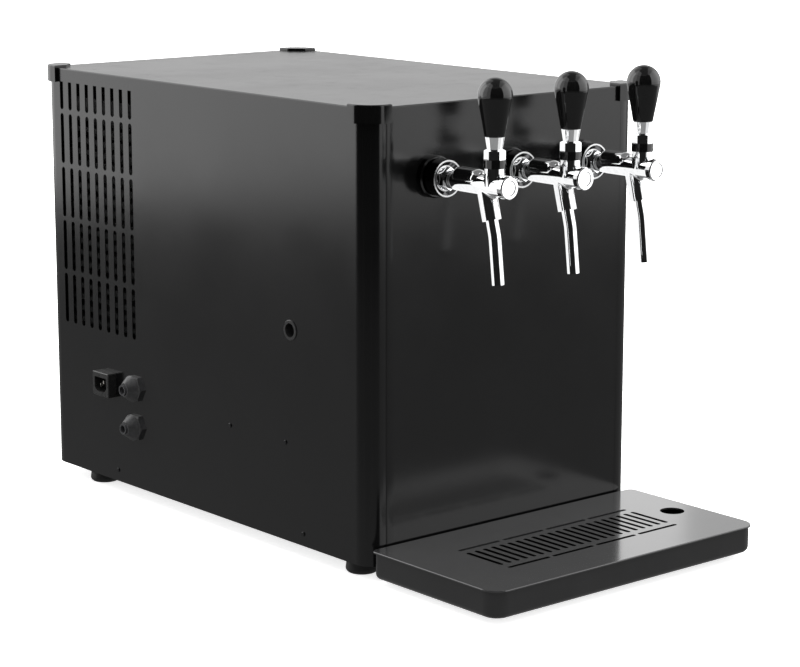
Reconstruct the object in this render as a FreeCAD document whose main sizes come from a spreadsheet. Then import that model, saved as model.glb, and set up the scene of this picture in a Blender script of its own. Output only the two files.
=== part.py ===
"""Three-tap over-counter beer cooler: a sheet-metal casing with its cooling parts, three chrome taps with
working levers and valves, and a lift-off drip tray.  Millimetres, +Z up.

Every piece is modelled in the case frame: x to the right seen from the taps, y towards the back with the
casing's front face at y = 0, and z up from the table.  The placements then move the whole machine so that
the origin lies on the table under the middle of its outer box.
"""
import FreeCAD, Part
import math
import os
import re
import Sketcher

V = FreeCAD.Vector

# The driving dimensions, in millimetres and degrees: one cell of the sheet each.
SIZES = {
    # ---- casing
    "case_width": 400,  # casing, outside, left to right
    "case_depth": 630,  # casing, outside, front to back
    "foot_height": 18,  # table to the underside of the casing
    "panel_height": 485,  # upright panels, from the underside to the lid's seam
    "lid_height": 16,  # turned-down rim of the lid
    "sheet_metal": 1,  # thickness of the casing's painted sheet
    "cut_past": 1,  # how far a cut runs past the face it opens
    "corner_radius": 21,  # outer radius of the casing's upright corners
    "corner_return": 3.5,  # flat stretch of a side panel past its corner bend
    "seam": 0.3,  # open joint between a side panel and its neighbour
    "panel_return": 12,  # depth of the front and rear panels' turned-in edges
    "return_inset": 32,  # how far those turned-in edges stop short of the panel's ends
    "edge_round": 1.5,  # small bend radius on sheet edges
    "pan_sheet": 1.2,  # thickness of the base pan
    "pan_side_flange": 27,  # height of the base pan's side flanges, from its underside
    "pan_end_flange": 12,  # height of the base pan's front and rear flanges
    "pan_corner_gap": 2,  # room between the base pan and the casing's corner bends
    # ---- corner caps and feet
    "cap_leg": 30,  # length of a corner cap along each edge of the lid
    "cap_proud": 4,  # how far a cap's skirt stands out from the panels
    "cap_skirt": 17,  # depth of a cap's skirt below the lid's top
    "cap_plate": 3,  # thickness of a cap's top plate
    "cap_cut": 18,  # bevel across the inner corner of a cap's top plate
    "cap_clearance": 0.2,  # room between a cap's skirt and the panels
    "foot_radius": 19,  # rubber foot
    "foot_top_radius": 17,  # rubber foot where it meets the pan
    "foot_round": 5,  # rounding of a foot's lower edge
    "foot_inset_side": 28,  # centre of a foot from the casing's side
    "foot_inset_front": 45,  # centre of a front foot from the front face
    "foot_inset_rear": 73,  # centre of a rear foot from the rear face
    # ---- cooling vents
    "vent_width": 7.2,  # width of a vent slot
    "vent_length": 61.9,  # length of a whole vent slot
    "vent_pitch": 18.5,  # from one column of vent slots to the next
    "vent_row_pitch": 66.6,  # from one row of vent slots to the next
    "vent_columns": 9,  # columns of vent slots in each side panel
    "vent_rows": 5,  # rows of vent slots in each side panel
    "vent_first": 38,  # first column of vent slots from the rear face
    "vent_floor": 202.4,  # lower end of the lowest vent slots above the table
    "rear_vent_columns": 14,  # columns of vent slots in the rear panel
    "rear_vent_rows": 2,  # rows of vent slots in the rear panel
    # ---- taps
    "tap_inset": 90,  # outer taps, from the casing's sides
    "tap_height": 440,  # tap axis above the table
    "shank_radius": 8,  # threaded shank through the front panel
    "shank_bore": 4,  # beer way in the shank
    "shank_tail": 60,  # how far the shank reaches in behind the front face
    "shank_socket": 14,  # depth of the shank's tail socket for its beer line
    "flange_radius": 23,  # black wall flange
    "flange_thick": 8,  # black wall flange
    "boss_radius": 14,  # threaded boss that takes the coupling nut
    "boss_length": 16.5,  # front face of that boss, from the panel
    "tail_flange": 2.5,  # thickness of the tap body's tail flange
    "tail_flange_radius": 13.5,  # tap body's tail flange
    "coupling_radius": 20,  # coupling nut
    "coupling_start": 9,  # back of the coupling nut, from the panel
    "coupling_front": 25,  # rim of the coupling nut, from the panel
    "coupling_lip": 2.5,  # inward lip that draws the tap body home
    "coupling_rim": 1.8,  # width of the coupling nut's bright rim
    "nut_flats": 27,  # shank nut across flats
    "nut_thick": 8,  # shank nut
    "neck_radius": 10.3,  # tap body behind its barrel
    "neck_hex": 22,  # spanner flats on the neck
    "neck_hex_length": 8,  # length of the spanner flats
    "body_radius": 11,  # tap body
    "barrel_radius": 11,  # raised barrel on top of the body
    "barrel_rise": 4.5,  # barrel axis above the tap axis
    "barrel_start": 47,  # centre of the barrel's rear dome, from the panel
    "barrel_end": 73,  # centre of the barrel's front dome, from the panel
    "body_end": 115.5,  # front end of the tap body, from the panel
    "nose_end": 122.5,  # front face of the nose cap, from the panel
    "nose_radius": 12.5,  # nose cap
    "nose_bevel": 1.2,  # bevel on the nose cap
    "nose_dish_radius": 8.2,  # shallow dish in the nose cap's face
    "nose_dish": 0.8,  # depth of that dish
    "nose_web": 2.5,  # wall of the nose cap in front of the stem
    "plug_length": 5,  # how far the nose cap reaches into the chamber
    "chamber_radius": 7.4,  # valve chamber in the tap body
    "seat_radius": 5,  # way through the valve seat
    "seat_back": 70,  # rear face of the valve seat, from the panel
    "seat_thick": 4,  # valve seat
    "head_radius": 6.8,  # rubber-faced valve head
    "head_thick": 4,  # valve head
    "stem_radius": 2.5,  # valve stem
    "stem_fit": 0.05,  # running clearance of the stem in the nose cap
    "yoke_radius": 6.5,  # yoke that the lever's finger moves
    "yoke_half_length": 6.5,  # half the length of the yoke
    "yoke_slot": 6.2,  # width of the yoke's slot along the stem
    "yoke_top": 2.6,  # flat on top of the yoke, above the tap axis
    "lever_out": 98.5,  # lever axis, from the panel
    "pivot_rise": 9,  # lever's ball above the tap axis
    "lever_open": 30,  # how far a lever tilts forward, in degrees
    "ball_radius": 5.4,  # lever's ball
    "ball_gap": 0.4,  # room round the ball
    "finger_radius": 2.2,  # tip of the lever's finger
    "finger_neck": 1.3,  # lever's finger above its tip
    "lever_rod": 3,  # lever rod through the bonnet
    "boss_top": 12,  # flat on top of the body that carries the bonnet, above the tap axis
    "bonnet_boss": 11.5,  # radius of the body's boss under the bonnet
    "bonnet_radius": 11,  # bonnet nut
    "dome_radius": 15.3,  # bonnet's dome, about the ball
    "cup_radius": 12,  # black cup on the lever
    "cup_gap": 0.3,  # room between the cup and the bonnet's dome
    "cup_top": 28,  # top of the cup, above the tap axis
    "collar_flats": 19.8,  # lever's hexagonal collar across flats
    "collar_turn": 15.5,  # how far that collar is screwed past square, in degrees
    "crown_angle": 30,  # slope of the turned-down corners of a hexagon, in degrees
    "collar_top": 38,  # top of that collar, above the tap axis
    "ferrule_foot": 8,  # lower radius of the lever's ferrule
    "ferrule_head": 10.3,  # upper radius of the lever's ferrule
    "ferrule_top": 51.7,  # top of the ferrule, above the tap axis
    "stud_radius": 4,  # stud that the knob screws on to
    "stud_length": 15,  # length of that stud
    "thread_gap": 0.05,  # clearance of screwed pieces
    "knob_foot": 11,  # lower radius of the knob
    "knob_radius": 18.6,  # widest radius of the knob
    "knob_top": 113.6,  # top of the knob, above the tap axis
    "knob_bevel": 0.6,  # bevel on the knob's lower edge
    "spout_lean": 15.4,  # forward lean of the spout's upper run, in degrees
    "spout_lower_lean": 6.7,  # forward lean of the spout's lower run, in degrees
    "spout_root": 85,  # spout axis where it meets the tap axis, from the panel
    "socket_length": 38,  # spout socket, from the tap axis
    "socket_radius": 10.2,  # spout socket
    "socket_blend": 3.5,  # fillet between the spout socket and the tap body
    "socket_depth": 22,  # how far the spout goes into its socket
    "spout_radius": 6.5,  # spout tube
    "spout_wall": 1,  # spout tube
    "spout_upper": 18,  # spout from its socket to its bend
    "spout_lower": 50.5,  # spout from its bend to its mouth
    "spout_bend": 60,  # radius of the spout's bend
    # ---- drip tray
    "tray_overhang": 0.5,  # how far the drip tray's lid reaches past each side of the casing
    "tray_depth": 200.5,  # drip tray lid
    "tray_gap": 3.5,  # room between the tray lid and the casing
    "tray_floor": 8,  # underside of the tub above the table
    "tub_height": 30,  # tub
    "tub_wall": 2,  # tub
    "tub_corner": 19,  # tub's front upright corners
    "tub_rear_corner": 8,  # tub's rear upright corners
    "tub_round": 7,  # tub's lower edge
    "lid_lip": 2,  # overhang of the tray lid
    "lid_plate": 2,  # thickness of the tray lid
    "lid_rim": 4,  # depth of the locating rim under the tray lid
    "lid_rim_gap": 0.5,  # room between that rim and the tub
    "grille_pitch": 12,  # from one drain slot to the next
    "grille_slots": 22,  # drain slots
    "grille_slot": 5.6,  # width of a drain slot
    "grille_front": 134,  # front end of the drain slots, from the casing
    "grille_rear": 77.5,  # rear end of the drain slots, from the casing
    "border_slot": 5,  # width of a border slot
    "border_offset": 11.5,  # centre line of a border slot from the ends of the drain slots
    "border_length": 60.5,  # length of a border slot
    "border_slots": 4,  # border slots along each edge
    "border_pitch": 65.5,  # from one border slot to the next
    "finger_hole": 14,  # radius of the finger hole in the tray lid
    "finger_hole_inset": 34.8,  # finger hole, from the tray lid's right end
    "finger_hole_out": 104,  # finger hole, from the casing
    "peg_radius": 4,  # locating pegs under the tub
    "peg_length": 3,  # locating pegs under the tub
    "peg_gap": 0.3,  # room round a peg in the bracket
    "peg_spacing": 160,  # from one peg to the other
    "peg_out": 110,  # pegs, from the casing
    "bracket_sheet": 2,  # tray bracket
    "bracket_width": 240,  # tray bracket
    "bracket_reach": 150,  # tray bracket in front of the casing
    "bracket_tail": 75,  # tray bracket under the casing
    "bracket_gap": 1.4,  # room between the casing and the bracket's upright step
    # ---- left side connections
    "inlet_from_rear": 127,  # centre of the mains inlet, from the rear face
    "inlet_height": 138.5,  # centre of the mains inlet above the table
    "inlet_wide": 35,  # mains inlet housing outside the panel
    "inlet_tall": 30,  # mains inlet housing outside the panel
    "inlet_proud": 11.7,  # mains inlet housing outside the panel
    "inlet_corner": 2.5,  # rounding of that housing's corners
    "inlet_edge": 0.8,  # bevel round its front
    "inlet_inner_wide": 29,  # mains inlet body behind the panel
    "inlet_inner_tall": 23,  # mains inlet body behind the panel
    "inlet_inner_deep": 14,  # mains inlet body behind the panel
    "inlet_cavity_wide": 25,  # socket for the appliance connector
    "inlet_cavity_tall": 17.5,  # socket for the appliance connector
    "inlet_cavity_deep": 17,  # socket for the appliance connector
    "inlet_bevel": 4.5,  # bevelled lower corners of that socket
    "pin_wide": 4,  # inlet pin
    "pin_thick": 2,  # inlet pin
    "pin_pitch": 7,  # from the earth pin to a live pin, along the socket
    "pin_drop": 2,  # live pins below the socket's middle, earth pin above it
    "pin_recess": 4.6,  # tips of the pins behind the socket's mouth
    "fitting_from_rear": 192.5,  # centre of the side hose fittings, from the rear face
    "fitting_low": 96,  # lower side hose fitting above the table
    "fitting_high": 144,  # upper side hose fitting above the table
    "rear_fitting_x": 40,  # rear hose fitting, left of the middle
    "rear_fitting_height": 120,  # rear hose fitting above the table
    "fitting_reach": 24,  # hose fitting outside its panel
    "fitting_thread": 10.5,  # threaded body of a hose fitting
    "fitting_nut_flats": 29,  # hexagon of a hose fitting
    "fitting_nut_thick": 8,  # hexagon of a hose fitting
    "fitting_groove": 2.5,  # neck between the hexagon and the nose
    "nose_base": 16.3,  # widest radius of a hose fitting's nose
    "nose_tip": 8.4,  # end radius of a hose fitting's nose
    "nose_stop": 3,  # how far the collet stands out of the nose
    "fitting_inner": 24,  # hose fitting behind its panel
    "fitting_socket": 10,  # depth of the inner line's socket in a hose fitting
    "fitting_collar_radius": 14,  # inner collar of a hose fitting
    "fitting_collar": 5,  # inner collar of a hose fitting
    "collet_radius": 6.6,  # release collet
    "collet_wall": 1.8,  # release collet
    "collet_length": 16,  # release collet
    "collet_travel": 2,  # how far a collet is pushed in to let go of its line
    "collet_stop": 0.3,  # room left behind a collet that is pushed in
    "collet_gap": 0.06,  # running clearance of a collet
    "line_radius": 4.75,  # beer line, outside
    "line_bore": 3.25,  # beer line, inside
    "line_fit": 0.05,  # clearance of a beer line in its socket
    "line_bend": 35,  # bend radius of a beer line
    # ---- thermostat
    "dial_from_front": 135.5,  # centre of the thermostat opening
    "dial_height": 261.8,  # centre of the thermostat opening above the table
    "bezel_radius": 11.6,  # thermostat bezel
    "bezel_thick": 1.2,  # thermostat bezel
    "bezel_neck": 9,  # thermostat neck through the panel
    "bezel_bore": 8,  # dark opening in the bezel
    "neck_length": 14,  # thermostat neck, from the panel's outer face
    "thermostat_box": 34,  # thermostat housing, along the panel
    "thermostat_deep": 22,  # thermostat housing, into the casing
    "spindle_radius": 4,  # thermostat spindle
    "spindle_recess": 6,  # spindle's end behind the bezel
    "spindle_slot": 1.4,  # screwdriver slot in the spindle
    "spindle_fit": 0.05,  # running clearance of the spindle
    # ---- cooling parts
    "jacket_gap": 4,  # room between the foam jacket and the thermostat
    "jacket_front": 113,  # foam jacket, from the front face
    "jacket_depth": 170,  # foam jacket
    "jacket_top": 330,  # top of the foam jacket above the table
    "jacket_wall": 35,  # foam jacket's walls
    "jacket_base": 60,  # foam jacket under the cooling block
    "line_drop": 170,  # where the beer lines go down, from the front face
    "port_depth": 12,  # depth of the cooling block's ports
    "supply_inset": 110,  # side supply lines' ports, from the casing's left side
    "lug_size": 20,  # fixing lugs on the foam jacket
    "lug_front": 146,  # front fixing lug, from the front face
    "lug_rear": 250.5,  # rear fixing lug, from the front face
    "lug_height": 132,  # fixing lugs above the table
    "compressor_x": 70,  # compressor, right of the middle
    "compressor_from_rear": 175,  # compressor, from the rear face
    "compressor_radius": 55,  # compressor shell
    "compressor_base": 30,  # underside of the compressor shell above the table
    "compressor_height": 150,  # compressor shell
    "compressor_round": 34,  # domed ends of the compressor shell
    "mount_plate": 3,  # compressor's mounting plate
    "mount_span": 150,  # compressor's mounting plate, along the casing
    "mount_width": 100,  # compressor's mounting plate, across the casing
    "grommet_radius": 10,  # compressor's rubber mounts
    "condenser_gap": 10,  # from the left panel to the condenser
    "condenser_thick": 30,  # condenser
    "condenser_low": 205,  # underside of the condenser above the table
    "condenser_tall": 280,  # condenser
    "fin_pitch": 14,  # from one fin groove to the next
    "fin_grooves": 18,  # fin grooves
    "fin_groove": 8,  # height of a fin groove
    "fin_depth": 20,  # depth of a fin groove
    "frame_gap": 22.5,  # from the condenser frame to the casing's rear face
    "frame_length": 197.5,  # condenser frame, front to back
    "frame_sheet": 1.5,  # condenser frame
    "frame_depth": 90,  # condenser frame's end plates, across the casing
    "fan_radius": 62,  # fan blades
    "fan_gap": 4,  # room round the fan blades
    "fan_height": 345,  # fan axis above the table
    "fan_offset": 4,  # from the fan plate to the blades
    "blade_count": 5,  # fan blades
    "blade_chord": 34,  # width of a fan blade
    "blade_thick": 1.6,  # fan blade
    "blade_camber": 60,  # radius of the fan blades' curve
    "blade_pitch": 32,  # pitch of the fan blades, in degrees
    "hub_radius": 18,  # fan hub
    "hub_length": 20,  # fan hub
    "motor_radius": 30,  # fan motor
    "motor_length": 42,  # fan motor
    "motor_gap": 3,  # from the hub to the motor
    "motor_shaft": 3,  # fan motor's shaft
    "shaft_fit": 0.05,  # running clearance of the fan on its shaft
    "spider_arm": 10,  # width of the fan motor's mounting arms
    "spider_back": 10,  # those arms, behind the front of the motor
    "spider_sheet": 2,  # thickness of the fan motor's mounting arms
    # ---- screws
    "screw_radius": 1.5,  # casing screws
    "screw_fit": 0.05,  # clearance round a screw
    "screw_head": 2.7,  # radius of a screw head
    "screw_head_thick": 1.2,  # screw head
    "screw_length": 8,  # screw under its head
    "side_screw_height": 32,  # side screws above the table
    "side_screw_front": 114.5,  # front side screws, from the front face
    "side_screw_rear": 145.5,  # rear side screws, from the rear face
    "rear_screw_x": 120,  # rear panel screws, from the middle
    "rear_screw_height": 25,  # rear panel screws above the table
    "bracket_screw_x": 90,  # tray bracket screws, from the middle
    "bracket_screw_front": 22,  # front pair of bracket screws, from the front face
    "bracket_screw_rear": 55,  # rear pair of bracket screws, from the front face
}

doc = FreeCAD.newDocument("beer_cooler")
sheet = doc.addObject("Spreadsheet::Sheet", "size")
for row, (name, number) in enumerate(SIZES.items(), 1):
    sheet.set("A%d" % row, name)
    sheet.set("B%d" % row, str(number))
    sheet.setAlias("B%d" % row, name)
doc.recompute()

WORD = re.compile(r"[a-z_]+")
KNOWN = set(SIZES)

# Places that several pieces share, as expressions on the sheet.
HALF = "case_width/2"
PANEL_TOP = "(foot_height + panel_height)"
LID_TOP = "(foot_height + panel_height + lid_height)"
PAN_TOP = "(foot_height + pan_sheet)"
PANEL_HALF = "(case_width/2 - corner_radius - corner_return - seam)"
TAP_X = "(case_width/2 - tap_inset)"
INLET_Y = "(case_depth - inlet_from_rear)"
FITTING_Y = "(case_depth - fitting_from_rear)"
SIDE_SCREWS = ("side_screw_front", "(case_depth - side_screw_rear)")
BRACKET_SCREWS = ("bracket_screw_front", "bracket_screw_rear")
LUGS = ("lug_front", "lug_rear")
ROW_X = "(fitting_reach - cap_proud)/2"
ROW_Y = "(tray_gap + tray_depth - case_depth - fitting_reach)/2"


def cells(expression):
    """The expression with the sheet's name put before each of its cells."""
    def named(word):
        return "size." + word.group() if word.group() in KNOWN else word.group()
    return WORD.sub(named, expression)


def value(expression):
    """The number that an expression gives."""
    return float(sheet.evalExpression(cells(expression)))


def bind(thing, prop, expression):
    """Tie a property to an expression on the sheet."""
    thing.setExpression(prop, cells(expression))


# ---------------------------------------------------------------- sketching
def new_body(label):
    """An empty body whose label is its piece's name."""
    body = doc.addObject("PartDesign::Body", label)
    body.Label = label
    return body


def new_sketch(body, plane, lift="0", raise_v="0"):
    """A sketch on one of the body's own origin planes, lifted off it and moved along its vertical axis."""
    sketch = body.newObject("Sketcher::SketchObject", body.Name + "_sketch")
    origin = [item for item in body.Origin.OriginFeatures if item.Role == plane + "_Plane"][0]
    sketch.AttachmentSupport = [(origin, "")]
    sketch.MapMode = "FlatFace"
    bind(sketch, "AttachmentOffset.Base.z", lift)
    bind(sketch, "AttachmentOffset.Base.y", raise_v)
    return sketch


def pin_down(sketch, index, end, x, y):
    """Hold a point of the sketch at x, y."""
    for kind, axis, text in (("DistanceX", -2, x), ("DistanceY", -1, y)):
        if text == "0":
            sketch.addConstraint(Sketcher.Constraint("PointOnObject", index, end, axis))
        else:
            held = sketch.addConstraint(Sketcher.Constraint(kind, -1, 1, index, end, value(text)))
            bind(sketch, "Constraints[%d]" % held, text)


def outline(sketch, corners, closed=True):
    """An outline through the corners (x, y).  A corner (x, y, r) is reached by an arc of radius r, which
    turns left; with a minus sign before r it turns right.  An open outline starts at its first corner."""
    points = [V(value(c[0]), value(c[1]), 0) for c in corners]
    legs = list(range(0 if closed else 1, len(corners)))
    first = sketch.GeometryCount
    ends = []
    for i in legs:
        start = points[i - 1]
        stop = points[i]
        if len(corners[i]) == 2:
            sketch.addGeometry(Part.LineSegment(start, stop), False)
            ends.append((1, 2))
            continue
        right = corners[i][2].startswith("-")
        radius = value(corners[i][2].lstrip("-"))
        if right:
            start, stop = stop, start
        chord = stop - start
        across = V(-chord.y, chord.x, 0).normalize()
        centre = start + chord * 0.5 + across * math.sqrt(max(radius ** 2 - (chord.Length / 2) ** 2, 0))
        a = math.atan2(start.y - centre.y, start.x - centre.x)
        b = math.atan2(stop.y - centre.y, stop.x - centre.x)
        if b < a:
            b += 2 * math.pi
        sketch.addGeometry(Part.ArcOfCircle(Part.Circle(centre, V(0, 0, 1), radius), a, b), False)
        ends.append((2, 1) if right else (1, 2))
    if not closed:
        pin_down(sketch, first, ends[0][0], corners[0][0], corners[0][1])
    for k, i in enumerate(legs):
        if closed or k + 1 < len(legs):
            following = (k + 1) % len(legs)
            sketch.addConstraint(Sketcher.Constraint("Coincident", first + k, ends[k][1],
                                                     first + following, ends[following][0]))
        pin_down(sketch, first + k, ends[k][1], corners[i][0], corners[i][1])
        if len(corners[i]) == 3:
            hold_arc(sketch, first + k, points[i - 1], points[i], corners[i])
    return sketch


def hold_arc(sketch, index, start, stop, corner):
    """Fix an arc whose ends are held: by its radius, or by its centre's level where it is a half circle."""
    radius = corner[2].lstrip("-")
    if (stop - start).Length < 1.9999 * value(radius):
        held = sketch.addConstraint(Sketcher.Constraint("Radius", index, value(radius)))
        bind(sketch, "Constraints[%d]" % held, radius)
        return
    kind, text = ("DistanceY", corner[1]) if abs(stop.y - start.y) < 1e-6 else ("DistanceX", corner[0])
    held = sketch.addConstraint(Sketcher.Constraint(kind, -1, 1, index, 3, value(text)))
    bind(sketch, "Constraints[%d]" % held, text)


def box_outline(sketch, x0, x1, y0, y1):
    """A rectangle between two places on each axis."""
    return outline(sketch, [(x0, y0), (x1, y0), (x1, y1), (x0, y1)])


def round_box(sketch, half, low, high, r_low, r_high):
    """A rectangle from -half to half, and from low to high, with rounded corners."""
    outline(sketch, [
        ("-%s + %s" % (half, r_low), low, r_low), ("%s - %s" % (half, r_low), low),
        (half, "%s + %s" % (low, r_low), r_low), (half, "%s - %s" % (high, r_high)),
        ("%s - %s" % (half, r_high), high, r_high), ("-%s + %s" % (half, r_high), high),
        ("-" + half, "%s - %s" % (high, r_high), r_high), ("-" + half, "%s + %s" % (low, r_low))])


def circle(sketch, x, y, radius):
    """A circle."""
    index = sketch.addGeometry(Part.Circle(V(value(x), value(y), 0), V(0, 0, 1), value(radius)), False)
    pin_down(sketch, index, 3, x, y)
    held = sketch.addConstraint(Sketcher.Constraint("Radius", index, value(radius)))
    bind(sketch, "Constraints[%d]" % held, radius)
    return sketch


def slot(sketch, x0, y0, x1, y1, width):
    """A round-ended slot whose tips are at (x0, y0) and (x1, y1), along one axis of the sketch."""
    half = "(%s)/2" % width
    if x0 == x1:
        left = "%s - %s" % (x0, half)
        right = "%s + %s" % (x0, half)
        low = "%s + %s" % (y0, half)
        high = "%s - %s" % (y1, half)
        return outline(sketch, [(left, low), (right, low, half), (right, high), (left, high, half)])
    left = "%s + %s" % (x0, half)
    right = "%s - %s" % (x1, half)
    low = "%s - %s" % (y0, half)
    high = "%s + %s" % (y0, half)
    return outline(sketch, [(right, low), (right, high, half), (left, high), (left, low, half)])


def hexagon(sketch, flats):
    """A hexagon about the sketch's origin."""
    side = "(%s)/2/sqrt(3)" % flats
    half = "(%s)/2" % flats
    tip = "(%s)/sqrt(3)" % flats
    return outline(sketch, [(half, "-" + side), (half, side), ("0", tip), ("-" + half, side),
                            ("-" + half, "-" + side), ("0", "-" + tip)])


# ---------------------------------------------------------------- features
def extrude(kind, body, sketch, length, back=False, both=False):
    """A pad or pocket of the sketch; back turns it round, both centres it on the sketch."""
    feature = body.newObject("PartDesign::" + kind, body.Name + "_" + kind.lower())
    feature.Profile = sketch
    bind(feature, "Length", length)
    feature.Reversed = back
    feature.Midplane = both
    sketch.Visibility = False
    body.Tip = feature
    return feature


def pad(body, sketch, length, back=False, both=False):
    """Material added along the sketch's normal."""
    return extrude("Pad", body, sketch, length, back, both)


def pocket(body, sketch, length, back=False, both=False):
    """Material taken away; it has to change the body's volume."""
    doc.recompute()
    before = body.Shape.Volume
    feature = extrude("Pocket", body, sketch, length, back, both)
    doc.recompute()
    if body.Shape.Volume > before - 1e-6:
        raise RuntimeError("a pocket of %s cuts nothing" % body.Label)
    return feature


def turn(kind, body, sketch, axis):
    """A revolution or groove about the sketch's horizontal (H) or vertical (V) axis."""
    feature = body.newObject("PartDesign::" + kind, body.Name + "_" + kind.lower())
    feature.Profile = sketch
    feature.ReferenceAxis = (sketch, [axis + "_Axis"])
    feature.Angle = 360
    body.Tip = feature
    return feature


def lathe(label, plane, axis, corners):
    """A body turned about an axis of one of its planes."""
    body = new_body(label)
    turn("Revolution", body, outline(new_sketch(body, plane), corners), axis)
    return body


def groove(body, plane, axis, corners, raise_v="0"):
    """A turned cut; it has to change the body's volume."""
    doc.recompute()
    before = body.Shape.Volume
    turn("Groove", body, outline(new_sketch(body, plane, "0", raise_v), corners), axis)
    doc.recompute()
    if body.Shape.Volume > before - 1e-6:
        raise RuntimeError("a groove of %s cuts nothing" % body.Label)


def dress(kind, body, amount, wanted):
    """A fillet or chamfer on the edges that wanted picks."""
    doc.recompute()
    base = body.Tip
    picked = ["Edge%d" % (i + 1) for i, edge in enumerate(base.Shape.Edges) if wanted(edge)]
    if not picked:
        raise RuntimeError("no edge to dress on %s" % body.Label)
    feature = body.newObject("PartDesign::" + kind, body.Name + "_" + kind.lower())
    feature.Base = (base, picked)
    bind(feature, "Radius" if kind == "Fillet" else "Size", amount)
    body.Tip = feature
    doc.recompute()
    return feature


def upright_at(places, reach=0.05):
    """Picks upright edges that stand at one of the (x, y) places."""
    spots = [(value(x), value(y)) for x, y in places]

    def wanted(edge):
        box = edge.BoundBox
        if box.ZLength < 0.5 or box.XLength > reach or box.YLength > reach:
            return False
        return any(abs(box.Center.x - x) < reach and abs(box.Center.y - y) < reach for x, y in spots)
    return wanted


def level_at(height, reach=0.01):
    """Picks the edges that lie at one height."""
    level = value(height)

    def wanted(edge):
        return abs(edge.BoundBox.ZMin - level) < reach and abs(edge.BoundBox.ZMax - level) < reach
    return wanted


def row_of(body, feature, axis, reach, count):
    """Repeats a feature along an axis of the body (X, Y or Z): count copies over the length reach."""
    line = [item for item in body.Origin.OriginFeatures if item.Role == axis + "_Axis"][0]
    pattern = body.newObject("PartDesign::LinearPattern", body.Name + "_row")
    pattern.Originals = [feature]
    pattern.Direction = (line, [""])
    bind(pattern, "Length", reach)
    bind(pattern, "Occurrences", count)
    body.Tip = pattern
    return pattern


def ring_of(body, feature, axis, count):
    """Repeats a feature round an axis of the body."""
    line = [item for item in body.Origin.OriginFeatures if item.Role == axis + "_Axis"][0]
    pattern = body.newObject("PartDesign::PolarPattern", body.Name + "_ring")
    pattern.Originals = [feature]
    pattern.Axis = (line, [""])
    pattern.Angle = 360
    bind(pattern, "Occurrences", count)
    body.Tip = pattern
    return pattern


# ---------------------------------------------------------------- placing
nodes = []

# Turns a piece that is modelled upright so that it stands out of one of the casing's sides.
LEFT = FreeCAD.Rotation(V(0, 1, 0), -90)
RIGHT = FreeCAD.Rotation(V(0, 1, 0), 90)
BACK = FreeCAD.Rotation(V(1, 0, 0), -90)
DOWN = FreeCAD.Rotation(V(1, 0, 0), 180)


def place(thing, x="0", y="0", z="0", rotation=None):
    """Put a piece at x, y, z of the case frame."""
    if rotation:
        thing.Placement.Rotation = rotation
    bind(thing, ".Placement.Base.x", x)
    bind(thing, ".Placement.Base.y", y)
    bind(thing, ".Placement.Base.z", z)
    return thing


def node(thing, x="0", y="0", z="0", rotation=None):
    """Place a piece, move it to the row frame and list it for export."""
    place(thing, "%s + %s" % (ROW_X, x), "%s + %s" % (ROW_Y, y), z, rotation)
    nodes.append(thing)
    return thing


def group(label, pieces):
    """Several like solids that share one node; each is already placed in the case frame."""
    compound = doc.addObject("Part::Compound", label)
    compound.Label = label
    compound.Links = pieces
    return node(compound)


# ================================================================ casing
def base_pan():
    """Folded pan that everything stands on: floor, side flanges and lower end flanges."""
    body = new_body("base_pan")
    edge = "(case_width/2 - sheet_metal)"
    far = "(case_depth - sheet_metal)"
    rim = "(corner_radius + corner_return + pan_corner_gap)"
    floor = new_sketch(body, "XY", "foot_height")
    pad(body, box_outline(floor, "-" + edge, edge, "sheet_metal", far), "pan_sheet")
    corners = [("-" + edge, "sheet_metal"), (edge, "sheet_metal"), (edge, far), ("-" + edge, far)]
    dress("Fillet", body, "corner_radius + pan_corner_gap", upright_at(corners))
    for side in ("-", ""):
        lip = new_sketch(body, "XY", "foot_height")
        box_outline(lip, side + edge, side + "(%s - pan_sheet)" % edge, rim, "case_depth - " + rim)
        pad(body, lip, "pan_side_flange")
    for near, deep in (("sheet_metal", "sheet_metal + pan_sheet"), (far + " - pan_sheet", far)):
        lip = new_sketch(body, "XY", "foot_height")
        box_outline(lip, "-case_width/2 + 2*" + rim, "case_width/2 - 2*" + rim, near, deep)
        pad(body, lip, "pan_end_flange")
    holes = new_sketch(body, "YZ")
    for y in SIDE_SCREWS:
        circle(holes, y, "side_screw_height", "screw_radius + screw_fit")
    pocket(body, holes, "case_width", both=True)
    holes = new_sketch(body, "XZ", "-case_depth")
    for x in ("-rear_screw_x", "rear_screw_x"):
        circle(holes, x, "rear_screw_height", "screw_radius + screw_fit")
    pocket(body, holes, "case_depth", both=True)
    holes = new_sketch(body, "XY")
    for x in ("-bracket_screw_x", "bracket_screw_x"):
        for y in BRACKET_SCREWS:
            circle(holes, x, y, "screw_radius + screw_fit")
    pocket(body, holes, PAN_TOP, back=True)
    node(body)


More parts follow.
